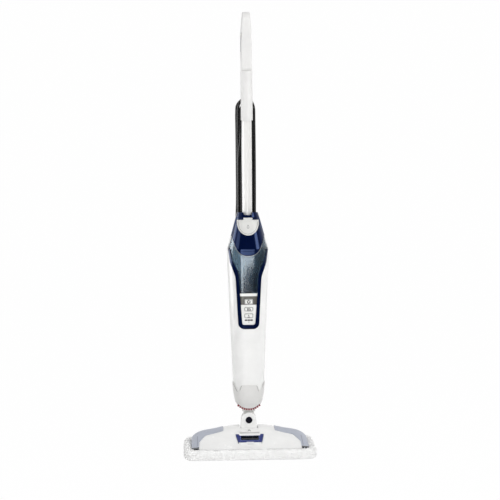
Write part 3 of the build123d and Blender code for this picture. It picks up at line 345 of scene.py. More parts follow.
@finish
def clear_tank(tree, colour):
    """Tinted clear plastic with limescale haze, with painted shade that darkens it towards its
    lower right corner.
    """
    grained = effect(tree, "Moulded Grain", Scale=420.0, Patch=14.0)
    parts = axes(tree, own_place(tree))
    slope = calc(tree, "MULTIPLY_ADD", parts["X"], -0.9, parts["Z"])
    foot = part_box("tank_shell")[0].z
    # painted shade: the tint grows darker towards the tank's lower right corner
    painted_shade = spread(tree, slope, foot + 0.010, foot + 0.085, 1.0, 0.0)
    deep = [part * share for part, share in zip(colour, (0.27, 0.35, 0.43))]
    haze = spread(tree, grained["Patches"], 0.55, 0.8, 0.0, 0.25)
    return {
        "Base Color": tint(tree, haze, tint(tree, painted_shade, colour, deep), (0.75, 0.78, 0.79)),
        "Roughness": spread(tree, grained["Patches"], 0.3, 0.8, 0.05, 0.16),
        "Normal": bumped(tree, grained["Height"], 0.00001),
        "Transmission Weight": 0.97, "IOR": 1.49, "Specular IOR Level": 1.0}


@finish
def rubber(tree, colour, roughness=0.42, grain=900.0, depth=0.00003, shine=0.5):
    """Rubber or soft touch coating with a fine pebble."""
    grained = effect(tree, "Moulded Grain", Scale=grain, Patch=30.0)
    dusty = effect(tree, "Settled Dust", Amount=0.05)["Mask"]
    toned = patchy_tone(tree, grained, shade(colour, 0.85),
                        [part * 1.2 + 0.002 for part in colour])
    return {
        "Base Color": tint(tree, dusty, toned, (0.35, 0.34, 0.33)),
        "Roughness": spread(tree, grained["Patches"], 0.25, 0.75,
                            roughness - 0.06, roughness + 0.08),
        "Normal": bumped(tree, grained["Height"], depth), "Specular IOR Level": shine}


@finish
def fleece_fabric(tree, fibre, fleck):
    """Bright microfibre with grey flecks and a soft sheen."""
    place = own_place(tree)
    spots = cloud(tree, place, 260.0, Detail=3.0, Roughness=0.75)
    clumps = cloud(tree, place, 60.0, Detail=4.0)
    strands = cloud(tree, place, 1800.0, Detail=2.0)
    flecked = calc(tree, "MULTIPLY", spread(tree, spots, 0.60, 0.70),
                   spread(tree, clumps, 0.35, 0.65, 0.25, 0.9))
    base = tint(tree, spread(tree, clumps, 0.3, 0.7), shade(fibre, 0.95), fibre)
    return {
        "Base Color": tint(tree, flecked, base, fleck),
        "Roughness": spread(tree, strands, 0.3, 0.7, 0.75, 0.95),
        "Normal": bumped(tree, strands, 0.0002),
        "Sheen Weight": 0.6, "Sheen Roughness": 0.5}


@finish
def bay_plastic(tree, dark, white):
    """The tank's recess: dark behind the tank, white on its front lip below."""
    grained = effect(tree, "Moulded Grain", Scale=1200.0)
    edge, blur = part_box("tank_bay")[0].z + 0.0072, 0.0001
    above = spread(tree, axes(tree, own_place(tree))["Z"], edge - blur, edge + blur)
    return {
        "Base Color": tint(tree, above, white, dark),
        "Roughness": spread(tree, grained["Patches"], 0.3, 0.7, 0.2, 0.3),
        "Normal": bumped(tree, grained["Height"], 0.00002)}


def repaint(material, share, colour):
    """Lays a second colour over a finish where share, a socket of its own tree, is 1."""
    tree = material.node_tree
    base = tree.nodes["Principled BSDF"].inputs["Base Color"]
    tree.links.new(tint(tree, share, base.links[0].from_socket, colour), base)


def shade_pedal(material, white, deep, painted_bevel_highlight):
    """Paints the pedal: pale strips at both ends, painted shade in its slot, and a painted
    highlight along the slot's bevel.
    """
    tree = material.node_tree
    parts = axes(tree, own_place(tree))
    x, y = calc(tree, "ABSOLUTE", parts["X"]), parts["Y"]
    low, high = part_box("scrub_pedal")
    slot_half_x, slot_half_y, slot_middle = 0.0226, 0.0078, high.y - 0.0268
    off_middle = calc(tree, "ABSOLUTE", calc(tree, "SUBTRACT", y, slot_middle))
    gap = any_of(tree, calc(tree, "SUBTRACT", x, slot_half_x),
                 calc(tree, "SUBTRACT", off_middle, slot_half_y))
    # painted highlight: a lighter blue band round the slot, along its bevel
    repaint(material, spread(tree, gap, 0.0022, 0.0026, 1.0, 0.0), painted_bevel_highlight)
    # painted shade: the slot and a thin border round it are near-black
    repaint(material, spread(tree, gap, 0.0008, 0.0011, 1.0, 0.0), deep)
    ears = calc(tree, "MULTIPLY", spread(tree, x, 0.0265, 0.0290), 0.0060)
    rear = calc(tree, "SUBTRACT", calc(tree, "SUBTRACT", y, ears), high.y - 0.0175)
    notch = spread(tree, x, 0.0100, 0.0088, 0.0030, 0.0052)
    front = calc(tree, "SUBTRACT", calc(tree, "ADD", notch, low.y), y)
    repaint(material, spread(tree, any_of(tree, rear, front), -0.0001, 0.0001), white)
    return material


def shade_trim(material, dark):
    """Paints the foot of each trim's front leg dark."""
    tree = material.node_tree
    parts = axes(tree, own_place(tree))
    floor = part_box("left_trim")[0].z
    foot = spread(tree, parts["Z"], floor + 0.0052, floor + 0.0048)
    front = spread(tree, parts["Y"], -0.0300, -0.0310)
    repaint(material, calc(tree, "MULTIPLY", foot, front), dark)
    return material


# ---- mesh helpers ----
def set_out(name, data):
    """An object in the scene."""
    obj = bpy.data.objects.new(name, data)
    bpy.context.scene.collection.objects.link(obj)
    return obj


def new_piece(name, points, faces, material, body, smooth=True):
    """A mesh piece in the mop's own frame, riding on a body."""
    mesh = bpy.data.meshes.new(name)
    mesh.from_pydata([tuple(point) for point in points], [], faces)
    mesh.update()
    if smooth:
        mesh.shade_smooth()
    obj = set_out(name, mesh)
    mesh.materials.append(material)
    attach(obj, body)
    return obj


def thicken(piece, thickness):
    solid = piece.modifiers.new("thickness", "SOLIDIFY")
    solid.thickness = thickness
    solid.offset = 0.0


def moved_faces(faces, base):
    """The same faces, on points that start at base."""
    return [tuple(base + corner for corner in face) for face in faces]


def tube_faces(rings, sides):
    """Faces between the rings of a tube, whose points run ring by ring."""
    faces = []
    for ring in range(rings - 1):
        for corner in range(sides):
            a, b = ring * sides + corner, ring * sides + (corner + 1) % sides
            faces.append((a, b, b + sides, a + sides))
    return faces


def rounded_rectangle(half_x, half_y, corner, centre_y, count):
    """Points round a rounded rectangle, evenly by length, with their outward directions."""
    straight_x, straight_y = half_x - corner, half_y - corner
    arc = pi * corner / 2
    parts = [2 * straight_y, arc, 2 * straight_x, arc] * 2
    total = sum(parts)
    made = []
    for index in range(count):
        along = total * index / count
        side = 0
        while along > parts[side]:
            along -= parts[side]
            side += 1
        quarter = side // 2
        turn = pi / 2 * quarter
        reach_x, reach_y = (half_x, straight_y) if quarter % 2 == 0 else (half_y, straight_x)
        if side % 2 == 0:
            x, y, angle = reach_x, -reach_y + along, 0.0
        else:
            angle = along / corner
            x = reach_x - corner + corner * cos(angle)
            y = reach_y + corner * sin(angle)
        made.append((x * cos(turn) - y * sin(turn),
                     x * sin(turn) + y * cos(turn) + centre_y,
                     cos(angle + turn), sin(angle + turn)))
    return made


def stroke(points, width, closed=False):
    """A flat line of the given width in the front view: points (x, z) and faces."""
    verts, faces = [], []
    count = len(points)
    for index, (x, z) in enumerate(points):
        before = points[(index - 1) % count] if closed or index else points[index]
        after = points[(index + 1) % count] if closed or index < count - 1 else points[index]
        dx, dz = after[0] - before[0], after[1] - before[1]
        size = hypot(dx, dz) or 1.0
        nx, nz = -dz / size * width / 2, dx / size * width / 2
        verts += [(x + nx, z + nz), (x - nx, z - nz)]
    for index in range(count if closed else count - 1):
        a, b = 2 * index, 2 * ((index + 1) % count)
        faces.append((a, b, b + 1, a + 1))
    return verts, faces


def bar(x, z, half, width):
    """A level stroke round a middle."""
    return stroke([(x - half, z), (x + half, z)], width)


def lay_marks(name, node, strokes, material, body, proud=0.00008):
    """Prints strokes on the front face of a node, following its curve."""
    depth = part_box(node)[0].y
    start = depth - 0.01
    points, faces = [], []
    for flat, quads in strokes:
        faces += moved_faces(quads, len(points))
        for x, z in flat:
            hit, place = NODES[node].ray_cast((x, start, z), REARWARD)[:2]
            depth = place.y if hit else depth
            points.append((x, depth - proud, z))
    thicken(new_piece(name, points, faces, material, body, smooth=False), 0.00012)


# ---- finishes of the solids ----
class MOP_OT_finishes(bpy.types.Operator):
    """Gives every carried-over solid its own finish"""
    bl_idname = "mop.finishes"
    bl_label = "Finish the solids"

    def execute(self, context):
        colours = context.scene.mop_colours
        blue = plastic("gloss pedal blue", colours.pedal_blue, 0.20, wear=0.3,
                       cast=(0.50, 0.64, 1.0))
        trim = plastic("satin trim grey", colours.trim_grey, 0.36)
        finishes = (
            (plastic("gloss white shell", colours.white_shell, 0.24, 0.000008, wear=0.15,
                     coat=0.35),
             "front_shell rear_shell head_cover yoke upper_cord_hook hook_stud"),
            (plastic("satin white handle", colours.handle_white, 0.42, 0.000002, wear=0.1),
             "left_handle right_handle"),
            (plastic("satin boot grey", colours.boot_grey, 0.42, 0.00003), "boot"),
            (plastic("satin light grey", colours.light_grey, 0.42, 0.00003),
             "filler_lid neck cord_clip"),
            (shade_trim(trim, colours.trim_dark), "left_trim right_trim"),
            (plastic("gloss trim tips", colours.trim_dark, 0.22), "trim_tips"),
            (plastic("gloss navy", colours.navy, 0.12, 0.000004, wear=0.12, dust=0.01, shine=0.42,
                     cast=(0.34, 0.50, 1.0)),
             "tank_frame tank_cap top_collar lower_cord_hook"),
            (plastic("gloss pin cap", colours.pin_dark, 0.3, wear=0.0, dust=0.0, shine=0.15),
             "pin_cap"),
            # the pedal's slot gets painted shade, and its bevel a painted highlight
            (shade_pedal(blue, colours.white_shell, deep=(0.0010, 0.0012, 0.004),
                         painted_bevel_highlight=(0.10, 0.13, 0.34)), "scrub_pedal"),
            (plastic("panel white", colours.panel_light, 0.26, wear=0.1, dust=0.04),
             "control_panel power_button high_steam_button low_steam_button"),
            (plastic("panel dark", colours.panel_dark, 0.22, wear=0.1, dust=0.04), "display_band"),
            (plastic("gloss vent red", colours.vent_red, 0.25, rounding=0.0004), "vent_ring"),
            (plastic("inner black plastic", colours.inner_black, 0.5, 0.00004),
             "head_base steam_plate steam_inlet pivot_bushes valve_seat pump tank_valve"),
            (bay_plastic("tank recess", (0.03, 0.05, 0.085), colours.panel_light), "tank_bay"),
            (clear_tank("clear tank", colours.tank_tint), "tank_shell"),
            (painted_tube("silver tube paint", colours.tube_silver), "handle_tube"),
            (metal("brushed steel", (0.56, 0.57, 0.58), 0.3),
             "head_screws pedal_pin pivot_pins swivel_pin pin_clip body_screws lid_pin"),
            (metal("brass blades", (0.68, 0.50, 0.22), 0.25), "plug_blades"),
            (metal("cast aluminium", (0.62, 0.62, 0.62), 0.5, along=(1, 1, 1)), "boiler"),
            (rubber("soft grip", colours.grip_grey, 0.6, 1100.0, 0.00006), "soft_grip"),
            (rubber("silicone seal", (0.30, 0.32, 0.33), 0.5), "tank_seal"),
            (rubber("cord rubber", colours.cord_black, 0.26, depth=0.000003, shine=0.4),
             "plug strain_relief cord_hank cord_lead cord_tail"),
            (rubber("silicone hose", (0.62, 0.62, 0.58), 0.4),
             "water_hose boiler_feed_hose steam_hose"),
            (plastic("circuit board", (0.01, 0.09, 0.04), 0.4), "circuit_board"),
            (fleece_fabric("fleece under pile", colours.fleece, colours.fleck), "mop_pad"),
        )
        for material, names in finishes:
            for name in names.split():
                NODES[name].data.materials.clear()
                NODES[name].data.materials.append(material)
        bare = sorted(name for name, obj in NODES.items() if not obj.data.materials)
        if bare:
            raise RuntimeError(f"these solids have no finish: {bare}")
        return {"FINISHED"}


# ---- fleece pad ----
PAD_COLUMNS = 264                               # columns of points round the pad
UNDER, FOOT, SHOULDER = 0.022, 0.004, 0.009     # flat rim below, lower and upper rounding
PAD_CORNER, POCKET_CORNER = 0.026, 0.018        # radii of the corners seen from above
POCKET_ROOM = 0.0024                            # between the head and the pocket's wall
POCKET_DIP, POCKET_DEPTH = 0.0012, 0.012        # of the pocket's edge, and of its wall
RIM_STEPS = 4


def pad_mesh(outer, inner, top):
    """The pad's skin: sides, rim towards the pocket, the pocket's wall, and the underside."""
    profile = [(UNDER * (1 - step / 5), 0.0) for step in range(5)]
    for step in range(6):
        angle = pi / 2 * step / 5
        profile.append((FOOT * (1 - sin(angle)), FOOT * (1 - cos(angle))))
    profile += [(0.0, FOOT + (top - 0.013) * step / 4) for step in range(1, 4)]
    for step in range(7):
        angle = pi / 2 * step / 6
        profile.append((SHOULDER * (1 - cos(angle)), top - SHOULDER + SHOULDER * sin(angle)))
    points = [(x - nx * inset, y - ny * inset, z) for x, y, nx, ny in outer
              for inset, z in profile]
    for (x, y, nx, ny), (ix, iy, *_) in zip(outer, inner):
        edge = Vector((x - nx * SHOULDER, y - ny * SHOULDER, top))
        goal = Vector((ix, iy, top - POCKET_DIP))
        points += [edge.lerp(goal, step / RIM_STEPS) for step in range(1, RIM_STEPS + 1)]
        points.append((ix, iy, top - POCKET_DEPTH))
    faces = []
    count, rings, rims = len(outer), len(profile), RIM_STEPS + 1
    for index in range(count):
        after = (index + 1) % count
        here, there = index * rings, after * rings
        faces += [(here + ring, there + ring, there + ring + 1, here + ring + 1)
                  for ring in range(rings - 1)]
        rim, next_rim = count * rings + index * rims, count * rings + after * rims
        faces.append((here + rings - 1, there + rings - 1, next_rim, rim))
        faces += [(rim + step, next_rim + step, next_rim + step + 1, rim + step + 1)
                  for step in range(RIM_STEPS)]
    centre = len(points)
    points += [((x - nx * UNDER) * 0.55, (y - ny * UNDER) * 0.55, 0) for x, y, nx, ny in outer]
    points.append((0, 0, 0))
    for index in range(count):
        after = (index + 1) % count
        faces.append((centre + index, centre + after, after * rings, index * rings))
        faces.append((len(points) - 1, centre + after, centre + index))
    return points, faces


def grow_pile(mesh, colours, sizes):
    """Scatters short bent tufts over the sides and rim."""
    rooted, clear, bare = 0.0008, 0.0012, 0.0035    # root's depth; floor; bare strip at the foot
    rng = random.Random(11)
    mesh.calc_loop_triangles()
    triangles = [t for t in mesh.loop_triangles if mesh.vertices[t.vertices[0]].co.z > bare]
    areas = [t.area for t in triangles]
    points, faces = [], []
    for triangle in rng.choices(triangles, weights=areas, k=sizes.tufts):
        a, b, c = (mesh.vertices[i].co for i in triangle.vertices)
        u, v = rng.random(), rng.random()
        if u + v > 1:
            u, v = 1 - u, 1 - v
        root = a + (b - a) * u + (c - a) * v
        normal = triangle.normal
        lean = Vector((rng.uniform(-1, 1), rng.uniform(-1, 1), rng.uniform(-1.2, 0.5)))
        lean -= normal * lean.dot(normal)
        side = normal.cross(lean)
        if side.length < 1e-6:
            continue
        side.normalize()
        length = sizes.pile * rng.uniform(0.55, 1.15)
        width = sizes.tuft_width * rng.uniform(0.6, 1.2)
        middle = root + normal * length * 0.55 + lean * length * 0.25
        tip = root + normal * length * 0.85 + lean * length * 0.75
        start = root - normal * rooted
        faces += moved_faces([(0, 1, 3, 2), (2, 3, 4)], len(points))
        points += [start - side * width / 2, start + side * width / 2,
                   middle - side * width * 0.42, middle + side * width * 0.42, tip]
        points[-1].z = max(points[-1].z, clear)
    fabric = fleece_fabric("fleece pile", colours.fleece, colours.fleck)
    new_piece("fleece_pile", points, faces, fabric, "head")


def sew_seam(inner, top, colours, sizes):
    """A row of stitches round the pocket's edge."""
    thread = fleece_fabric("seam thread", shade(colours.fleece, 0.8), colours.fleck)
    inset, sink, sides = 0.0028, 0.0010, 6
    rings = ((-1.0, -0.0009, 0.0003), (-0.5, 0.0006, 0.00045), (0.5, 0.0006, 0.00045),
             (1.0, -0.0009, 0.0003))            # each: place along, height, thickness
    points, faces = [], []
    for (x, y, nx, ny), (ax, ay, *_) in zip(inner, inner[1:] + inner[:1]):
        along = Vector((ax - x, ay - y, 0))
        if along.length < 1e-6:
            continue
        along.normalize()
        middle = Vector((x + nx * inset, y + ny * inset, top - sink))
        side = Vector((nx, ny, 0))
        faces += moved_faces(tube_faces(len(rings), sides), len(points))
        for share, lift, girth in rings:
            spot = middle + along * (sizes.stitch * 0.38) * share
            for corner in range(sides):
                angle = tau * corner / sides
                points.append(spot + side * girth * cos(angle)
                              + Vector((0, 0, girth * sin(angle) + lift)))
    new_piece("pad_stitches", points, faces, thread, "head")


class MOP_OT_fleece_pad(bpy.types.Operator):
    """Builds the fleece pad with its soft lumps, pile and seam"""
    bl_idname = "mop.fleece_pad"
    bl_label = "Fleece pad"

    def execute(self, context):
        sizes = context.scene.mop_pad
        colours = context.scene.mop_colours
        low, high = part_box("mop_pad")
        top = high.z
        outer = rounded_rectangle((high.x - low.x) / 2, (high.y - low.y) / 2,
                                  PAD_CORNER, 0.0, PAD_COLUMNS)
        low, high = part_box("head_base")
        front, rear = low.y - POCKET_ROOM, high.y + POCKET_ROOM
        inner = rounded_rectangle(high.x + POCKET_ROOM, (rear - front) / 2,
                                  POCKET_CORNER, (front + rear) / 2, PAD_COLUMNS)
        points, faces = pad_mesh(outer, inner, top)
        fabric = bpy.data.materials["fleece under pile"]
        pad = new_piece("fleece_pad", points, faces, fabric, "head")
        vertices = pad.data.vertices
        normals = [vertex.normal.copy() for vertex in vertices]
        for vertex, normal in zip(vertices, normals):
            if vertex.co.z >= 0.001:
                lump = noise.noise(vertex.co * 130.0) + 0.6 * noise.noise(vertex.co * 310.0)
                vertex.co += normal * sizes.lumps * lump
        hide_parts("mop_pad")
        grow_pile(pad.data, colours, sizes)
        sew_seam(inner, top, colours, sizes)
        return {"FINISHED"}


# ---- cord ----
LOW_HOOK, HIGH_HOOK = 0.602, 0.909              # heights of the hooks
EXIT = (-0.028, 0.079, 0.563)                   # where the cord leaves its relief
LEAD = (EXIT, (-0.028, 0.080, 0.585), (-0.0265, 0.090, 0.625), (-0.0245, 0.094, 0.670),
        (-0.0248, 0.094, 0.760), (-0.0250, 0.094, 0.860), (-0.0256, 0.0925, 0.893),
        (-0.0254, 0.0860, 0.911), (-0.0250, 0.0768, 0.925))
TAIL = ((0.0238, 0.0805, 0.590), (0.0285, 0.080, 0.570), (0.028, 0.080, 0.546))
LAYERS = (0.0676, 0.0740, 0.0804, 0.0868)       # depths of the layers, one cord apart
TURNS = (("outer", 1), ("outer", 0), ("inner", 0), ("inner", 1), ("inner", 2), ("inner", 3),
         ("outer", 3), ("outer", 2))            # each turn's size and layer, in winding order
HALF_TURN = [radians(18 + 36 * step) for step in range(5)]
CUT = 0.951             # share of its control points' radius that the rounded spline reaches


def cord_route(sizes):
    """Control points: up the left, over and under the hooks turn by turn, to the plug."""
    low, high = LOW_HOOK, HIGH_HOOK
    rng = random.Random(5)
    radii = {"outer": sizes.outer_turn, "inner": sizes.inner_turn}
    turns = [(size, radii[size], LAYERS[layer]) for size, layer in TURNS]
    last = len(turns) - 1
    route = list(LEAD)
    for index, (size, radius, y) in enumerate(turns):
        outermost = size == "outer"
        bow = sizes.slack * (1.0 if outermost else 0.4) + rng.uniform(-0.0003, 0.0003)
        if index:
            before = turns[index - 1][1:]
            cross = low + 0.020 + (last - index) * 0.037        # where the strand changes layer
            for z, (reach, depth) in ((low + 0.006, before), (cross - 0.010, before),
                                      (cross + 0.016, (radius, y)),
                                      ((cross + high) / 2 + 0.02, (radius, y))):
                span = (z - low) / (high - low)
                route.append((-reach - bow * sin(pi * span), depth, z))
            route.append((-radius - bow * 0.1, y, high - 0.012))
        rise = sizes.crown if outermost else radius
        for angle in HALF_TURN[0 if index else 1:]:
            route.append((-radius / CUT * cos(angle), y, high + rise / CUT * sin(angle)))
        for share in (0.04, 0.28, 0.52, 0.76, 0.96):
            z = high + (low - high) * share
            if index == last and share > 0.9:
                z += 0.006
            route.append((radius + bow * sin(pi * share), y, z))
        if index < last:
            for angle in HALF_TURN:
                reach = radius / CUT
                route.append((reach * cos(angle), y, low - reach * sin(angle)))
    return route + list(TAIL)


def ribbed_relief():
    """A tapered, segmented sleeve where the cord leaves the body."""
    low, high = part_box("strain_relief")
    x, y = (low.x + high.x) / 2, (low.y + high.y) / 2
    foot, tip = high.z - 0.032, high.z
    ribs, sides, groove = 8, 28, 0.0010
    profile = [(0.0039, low.z), (0.0039, foot - 0.0004), (0.0064, foot), (0.0066, foot + 0.003)]
    gap = (tip - foot - 0.006) / ribs
    for rib in range(ribs):
        z = foot + 0.004 + (tip - foot - 0.006) * rib / ribs
        radius = 0.0064 - 0.0017 * rib / ribs
        profile += [(radius, z), (radius, z + gap * 0.55), (radius - groove, z + gap * 0.62),
                    (radius - groove, z + gap * 0.93)]
    profile += [(0.0047, tip - 0.0015), (0.0044, tip), (0.0036, tip)]
    points = []
    for radius, z in profile:
        for corner in range(sides):
            angle = tau * corner / sides
            points.append((x + radius * cos(angle), y + radius * sin(angle), z))
    faces = tube_faces(len(profile), sides) + [tuple(reversed(range(sides)))]
    cover = bpy.data.materials["cord rubber"]
    relief = new_piece("ribbed_relief", points, faces, cover, "body", smooth=False)
    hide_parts("strain_relief")
    return relief


class MOP_OT_cord(bpy.types.Operator):
    """Winds the cord round its two hooks, from the strain relief to the plug"""
    bl_idname = "mop.cord"
    bl_label = "Wound cord"

    def execute(self, context):
        sizes = context.scene.mop_cord
        route = cord_route(sizes)
        curve = bpy.data.curves.new("power_cord", "CURVE")
        curve.dimensions = "3D"
        spline = curve.splines.new("NURBS")
        spline.points.add(len(route) - 1)
        for point, place in zip(spline.points, route):
            point.co = (*place, 1.0)
        spline.order_u = 3
        spline.use_endpoint_u = True
        spline.resolution_u = 5
        curve.bevel_depth = sizes.diameter / 2
        curve.bevel_resolution = 4
        curve.use_fill_caps = True
        cord = set_out("power_cord", curve)
        curve.materials.append(bpy.data.materials["cord rubber"])
        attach(cord, "body")
        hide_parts("cord_hank", "cord_lead", "cord_tail")
        relief = ribbed_relief()
        return {"FINISHED"}


# ---- marks and small trim ----
CAP_EDGE = ((0.0, 0.5393), (0.020, 0.5393), (0.026, 0.5416), (0.0435, 0.5776))  # x and height


def key_signs(ink):
    """Power ring, three wisps over a line, and one wisp over a line."""
    z, radius = middle_height("power_button"), 0.0036
    turns = [radians(38 + 284 * step / 24) for step in range(25)]
    ring = [(radius * sin(a), z + radius * cos(a)) for a in turns]
    lay_marks("power_mark", "power_button",
              [stroke(ring, 0.0021), stroke([(0, z + 0.0012), (0, z + 0.0052)], 0.0020)],
              ink, "power_key")
    z = middle_height("high_steam_button")
    lay_marks("high_steam_mark", "high_steam_button",
              [wisp(x, z, 0.0058) for x in (-0.0034, 0.0, 0.0034)]
              + [bar(0.0, z - 0.0040, 0.0052, 0.0011)], ink, "high_steam_key")
    z = middle_height("low_steam_button")
    lay_marks("low_steam_mark", "low_steam_button",
              [wisp(0.0, z + 0.0002, 0.0046), bar(0.0, z - 0.0038, 0.0034, 0.0011)],
              ink, "low_steam_key")


def key_outlines(pale):
    """A rounded outline just inside the edge of each key."""
    inset, corner = 0.0011, 0.0028
    for key in ("power", "high_steam", "low_steam"):
        low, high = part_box(f"{key}_button")
        half, tall = (high.x - low.x) / 2 - inset, (high.z - low.z) / 2 - inset
        outline = [point[:2] for point in
                   rounded_rectangle(half, tall, corner, middle_height(f"{key}_button"), 56)]
        lay_marks(f"{key}_outline", f"{key}_button", [stroke(outline, 0.00105, closed=True)],
                  pale, f"{key}_key")


def level_marks(ink):
    """Three bars and a dash at the foot of the panel."""
    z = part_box("control_panel")[0].z + 0.0125
    lay_marks("level_marks", "control_panel",
              [bar(x, z, 0.0031, 0.0038) for x in (-0.0072, 0.0, 0.0072)]
              + [bar(0.0, z - 0.0052, 0.0015, 0.0011)], ink, "body")


def lid_marks(pale, groove):
    """A drop in the middle of the lid, and a groove along its rim."""
    low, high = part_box("filler_lid")
    z, half_width, half_height = middle_height("filler_lid"), 0.0033, 0.0045
    drop = [(half_width * sin(a) * (0.5 - 0.5 * cos(a)) ** 0.6, z + half_height * cos(a))
            for a in [tau * step / 28 for step in range(28)]]
    lay_marks("lid_drop", "filler_lid", [stroke(drop, 0.0008, closed=True)], pale, "lid")
    half = (high.x - low.x) / 2 - 0.0040
    shoulder, foot = low.z + 0.0335, low.z + 0.0038
    rim = [(half * cos(a), shoulder - (shoulder - foot) * sin(a))
           for a in [pi * step / 32 for step in range(33)]]
    rim += [(-half, shoulder + 0.0032), (half, shoulder + 0.0032)]
    lay_marks("lid_groove", "filler_lid", [stroke(rim, 0.0009, closed=True)], groove, "lid")


def head_chevron(ink):
    """A small upward chevron on the head, over the pedal."""
    shift, above, proud = 0.0005, 0.2, 0.00008
    points, faces = [], []
    for reach, foot in ((0.0042, -0.0040), (0.0030, 0.0010)):
        flat, quads = stroke([(-reach, foot), (0.0, foot + reach), (reach, foot)], 0.0013)
        faces += moved_faces(quads, len(points))
        for x, y in flat:
            place = NODES["head_cover"].ray_cast((x, y - shift, above), DOWNWARD)[1]
            points.append((x, y - shift, place.z + proud))
    thicken(new_piece("head_chevron", points, faces, ink, "head", smooth=False), 0.00012)


def lip_foot(x):
    """Height of the lip's curved lower rim at a distance from the middle."""
    share = (x / 0.043) ** 2
    return 0.5277 + 0.015 * share + 0.037 * share * share


def lip_head(x):
    """Height of the cap's lower edge, where the lip hangs from it."""
    for (near, low), (far, high) in zip(CAP_EDGE, CAP_EDGE[1:]):
        if near <= abs(x) <= far:
            head = low + (high - low) * (abs(x) - near) / (far - near)
    return max(head, lip_foot(x) + 0.0002)


def cap_lip(pale):
    """The cap's curved lip over the tank's face, with a thin pale seal under it."""
    half, columns, rows, thickness, proud = 0.0405, 56, 9, 0.0003, 0.0003
    across = [-half + 2 * half * column / columns for column in range(columns + 1)]
    points, faces = [], []
    for x in across:
        foot, head = lip_foot(x), lip_head(x)
        for row in range(rows + 1):
            z = foot + (head - foot) * row / rows
            for drop in (0.0, 0.002, 0.004, 0.008):
                start = (x, -0.05, z - drop)
                hit, place = NODES["tank_shell"].ray_cast(start, REARWARD)[:2]
                if hit:
                    break
            points.append((x, place.y - proud, z))
    for column in range(columns):
        for row in range(rows):
            a = column * (rows + 1) + row
            faces.append((a, a + rows + 1, a + rows + 2, a + 1))
    navy = bpy.data.materials["gloss navy"]
    thicken(new_piece("cap_lip", points, faces, navy, "tank"), thickness)
    rim = [(x, lip_foot(x) - 0.0005) for x in across[2:-2]]
    lay_marks("cap_seal", "tank_shell", [stroke(rim, 0.0010)], pale, "tank", proud=proud)


def vent_teeth():
    """Red teeth along the boot's lower edge, flush with its skin."""
    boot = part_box("boot")[0]
    radius, teeth, pitch = 0.0451, 5, 0.0058
    half_width, length, near, far = 0.0019, 0.0044, 0.0001, 0.0026
    centre = Vector((0.0, 0.0, boot.z + 0.045))
    block = ((0, 1, 2, 3), (7, 6, 5, 4), (0, 4, 5, 1), (1, 5, 6, 2), (2, 6, 7, 3), (3, 7, 4, 0))
    points, faces = [], []
    for index in range(-teeth, teeth + 1):
        turn = index * pitch / radius
        out = Vector((sin(turn), 0.0, -cos(turn)))
        across = Vector((cos(turn), 0.0, sin(turn)))
        seat = centre + out * (radius - 0.0015)
        start = (seat.x, boot.y - 0.02, seat.z)
        hit, place = NODES["boot"].ray_cast(start, REARWARD)[:2]
        if not hit:
            continue
        faces += moved_faces(block, len(points))
        for deep in (near, far):
            for side, reach in ((-1, 0.0), (1, 0.0), (1, length), (-1, length)):
                spot = centre + out * (radius + reach) + across * side * half_width
                points.append((spot.x, place.y + deep, spot.z))
    red = bpy.data.materials["gloss vent red"]
    new_piece("vent_teeth", points, faces, red, "body", smooth=False)


def boot_shadow_lines(groove):
    """Painted shadow lines beside the boot's front tab, and at its left wing."""
    lines = [[(side * (0.0203 + 0.0013 * step), 0.1820 - 0.0041 * step)
              for step in range(5)] for side in (-1, 1)]
    lines.append([(-0.0412 + 0.0025 * step, 0.1838 - 0.0048 * step) for step in range(5)])
    lay_marks("boot_shadow_lines", "boot", [stroke(line, 0.0009) for line in lines], groove, "body")


def trim_shadow_lines(ridge):
    """A short painted shadow line on the front leg of each trim."""
    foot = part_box("right_trim")[0].z + 0.0045
    for side, name in ((-1, "left"), (1, "right")):
        line = [(side * (0.1392 - 0.00012 * step), foot + 0.0019 * step) for step in range(10)]
        lay_marks(f"{name}_ridge", f"{name}_trim", [stroke(line, 0.0011)], ridge, "head")


def middle_height(node):
    low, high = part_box(node)
    return (low.z + high.z) / 2


def wisp(x, z, tall):
    """One rising wisp of steam."""
    line = [(x + 0.0007 * sin(tau * step / 12), z - tall / 2 + tall * step / 12)
            for step in range(13)]
    return stroke(line, 0.0018)


class MOP_OT_key_marks(bpy.types.Operator):
    """Prints the rings, symbols and outlines on the keys, panel, lid and head"""
    bl_idname = "mop.key_marks"
    bl_label = "Key marks"

    def execute(self, context):
        colours = context.scene.mop_colours
        ink = thin_ink_and_painted_shadow("printed ink", colours.mark_ink)
        pale = thin_ink_and_painted_shadow("pale ink", (0.09, 0.09, 0.09))
        # grey ink for the lid's groove and the cap's seal, and for the painted shadow lines on the
        # boot
        groove = thin_ink_and_painted_shadow("lid groove", (0.30, 0.30, 0.29), 0.5)
        # dark ink for the painted shadow lines on the trims
        ridge = thin_ink_and_painted_shadow("trim ridge", (0.15, 0.16, 0.20))
        key_signs(ink)
        key_outlines(pale)
        level_marks(ink)
        lid_marks(pale, groove)
        head_chevron(ink)
        cap_lip(groove)
        vent_teeth()
        # painted shadow lines beside the boot's tab and at its left wing
        boot_shadow_lines(groove)
        # painted shadow lines on the front legs of the trims
        trim_shadow_lines(ridge)
        return {"FINISHED"}


# ---- stage ----
PAPER_HALF, PAPER_DROP = 9.0, 0.0002
SWEEP = ((-8.0, 0.0), (2.6, 0.0), (3.2, 0.05), (3.7, 0.22), (4.0, 0.55), (4.1, 1.0),
         (4.1, 6.0))                # the paper's side view: depth and height


def set_camera(scene, settings):
    data = bpy.data.cameras.new("camera")
    data.sensor_width = 36.0
    data.lens = data.sensor_width / 2 / tan(settings.field / 2)
    camera = set_out("camera", data)
    camera.location = (-settings.distance * sin(settings.turn),
                       -settings.distance * cos(settings.turn), settings.height)
    aim = (Matrix.Rotation(-settings.turn - settings.aside, 4, "Z")
           @ Matrix.Rotation(pi / 2 - settings.tilt, 4, "X")
           @ Matrix.Rotation(settings.roll, 4, "Z"))
    camera.rotation_euler = aim.to_euler()
    scene.camera = camera


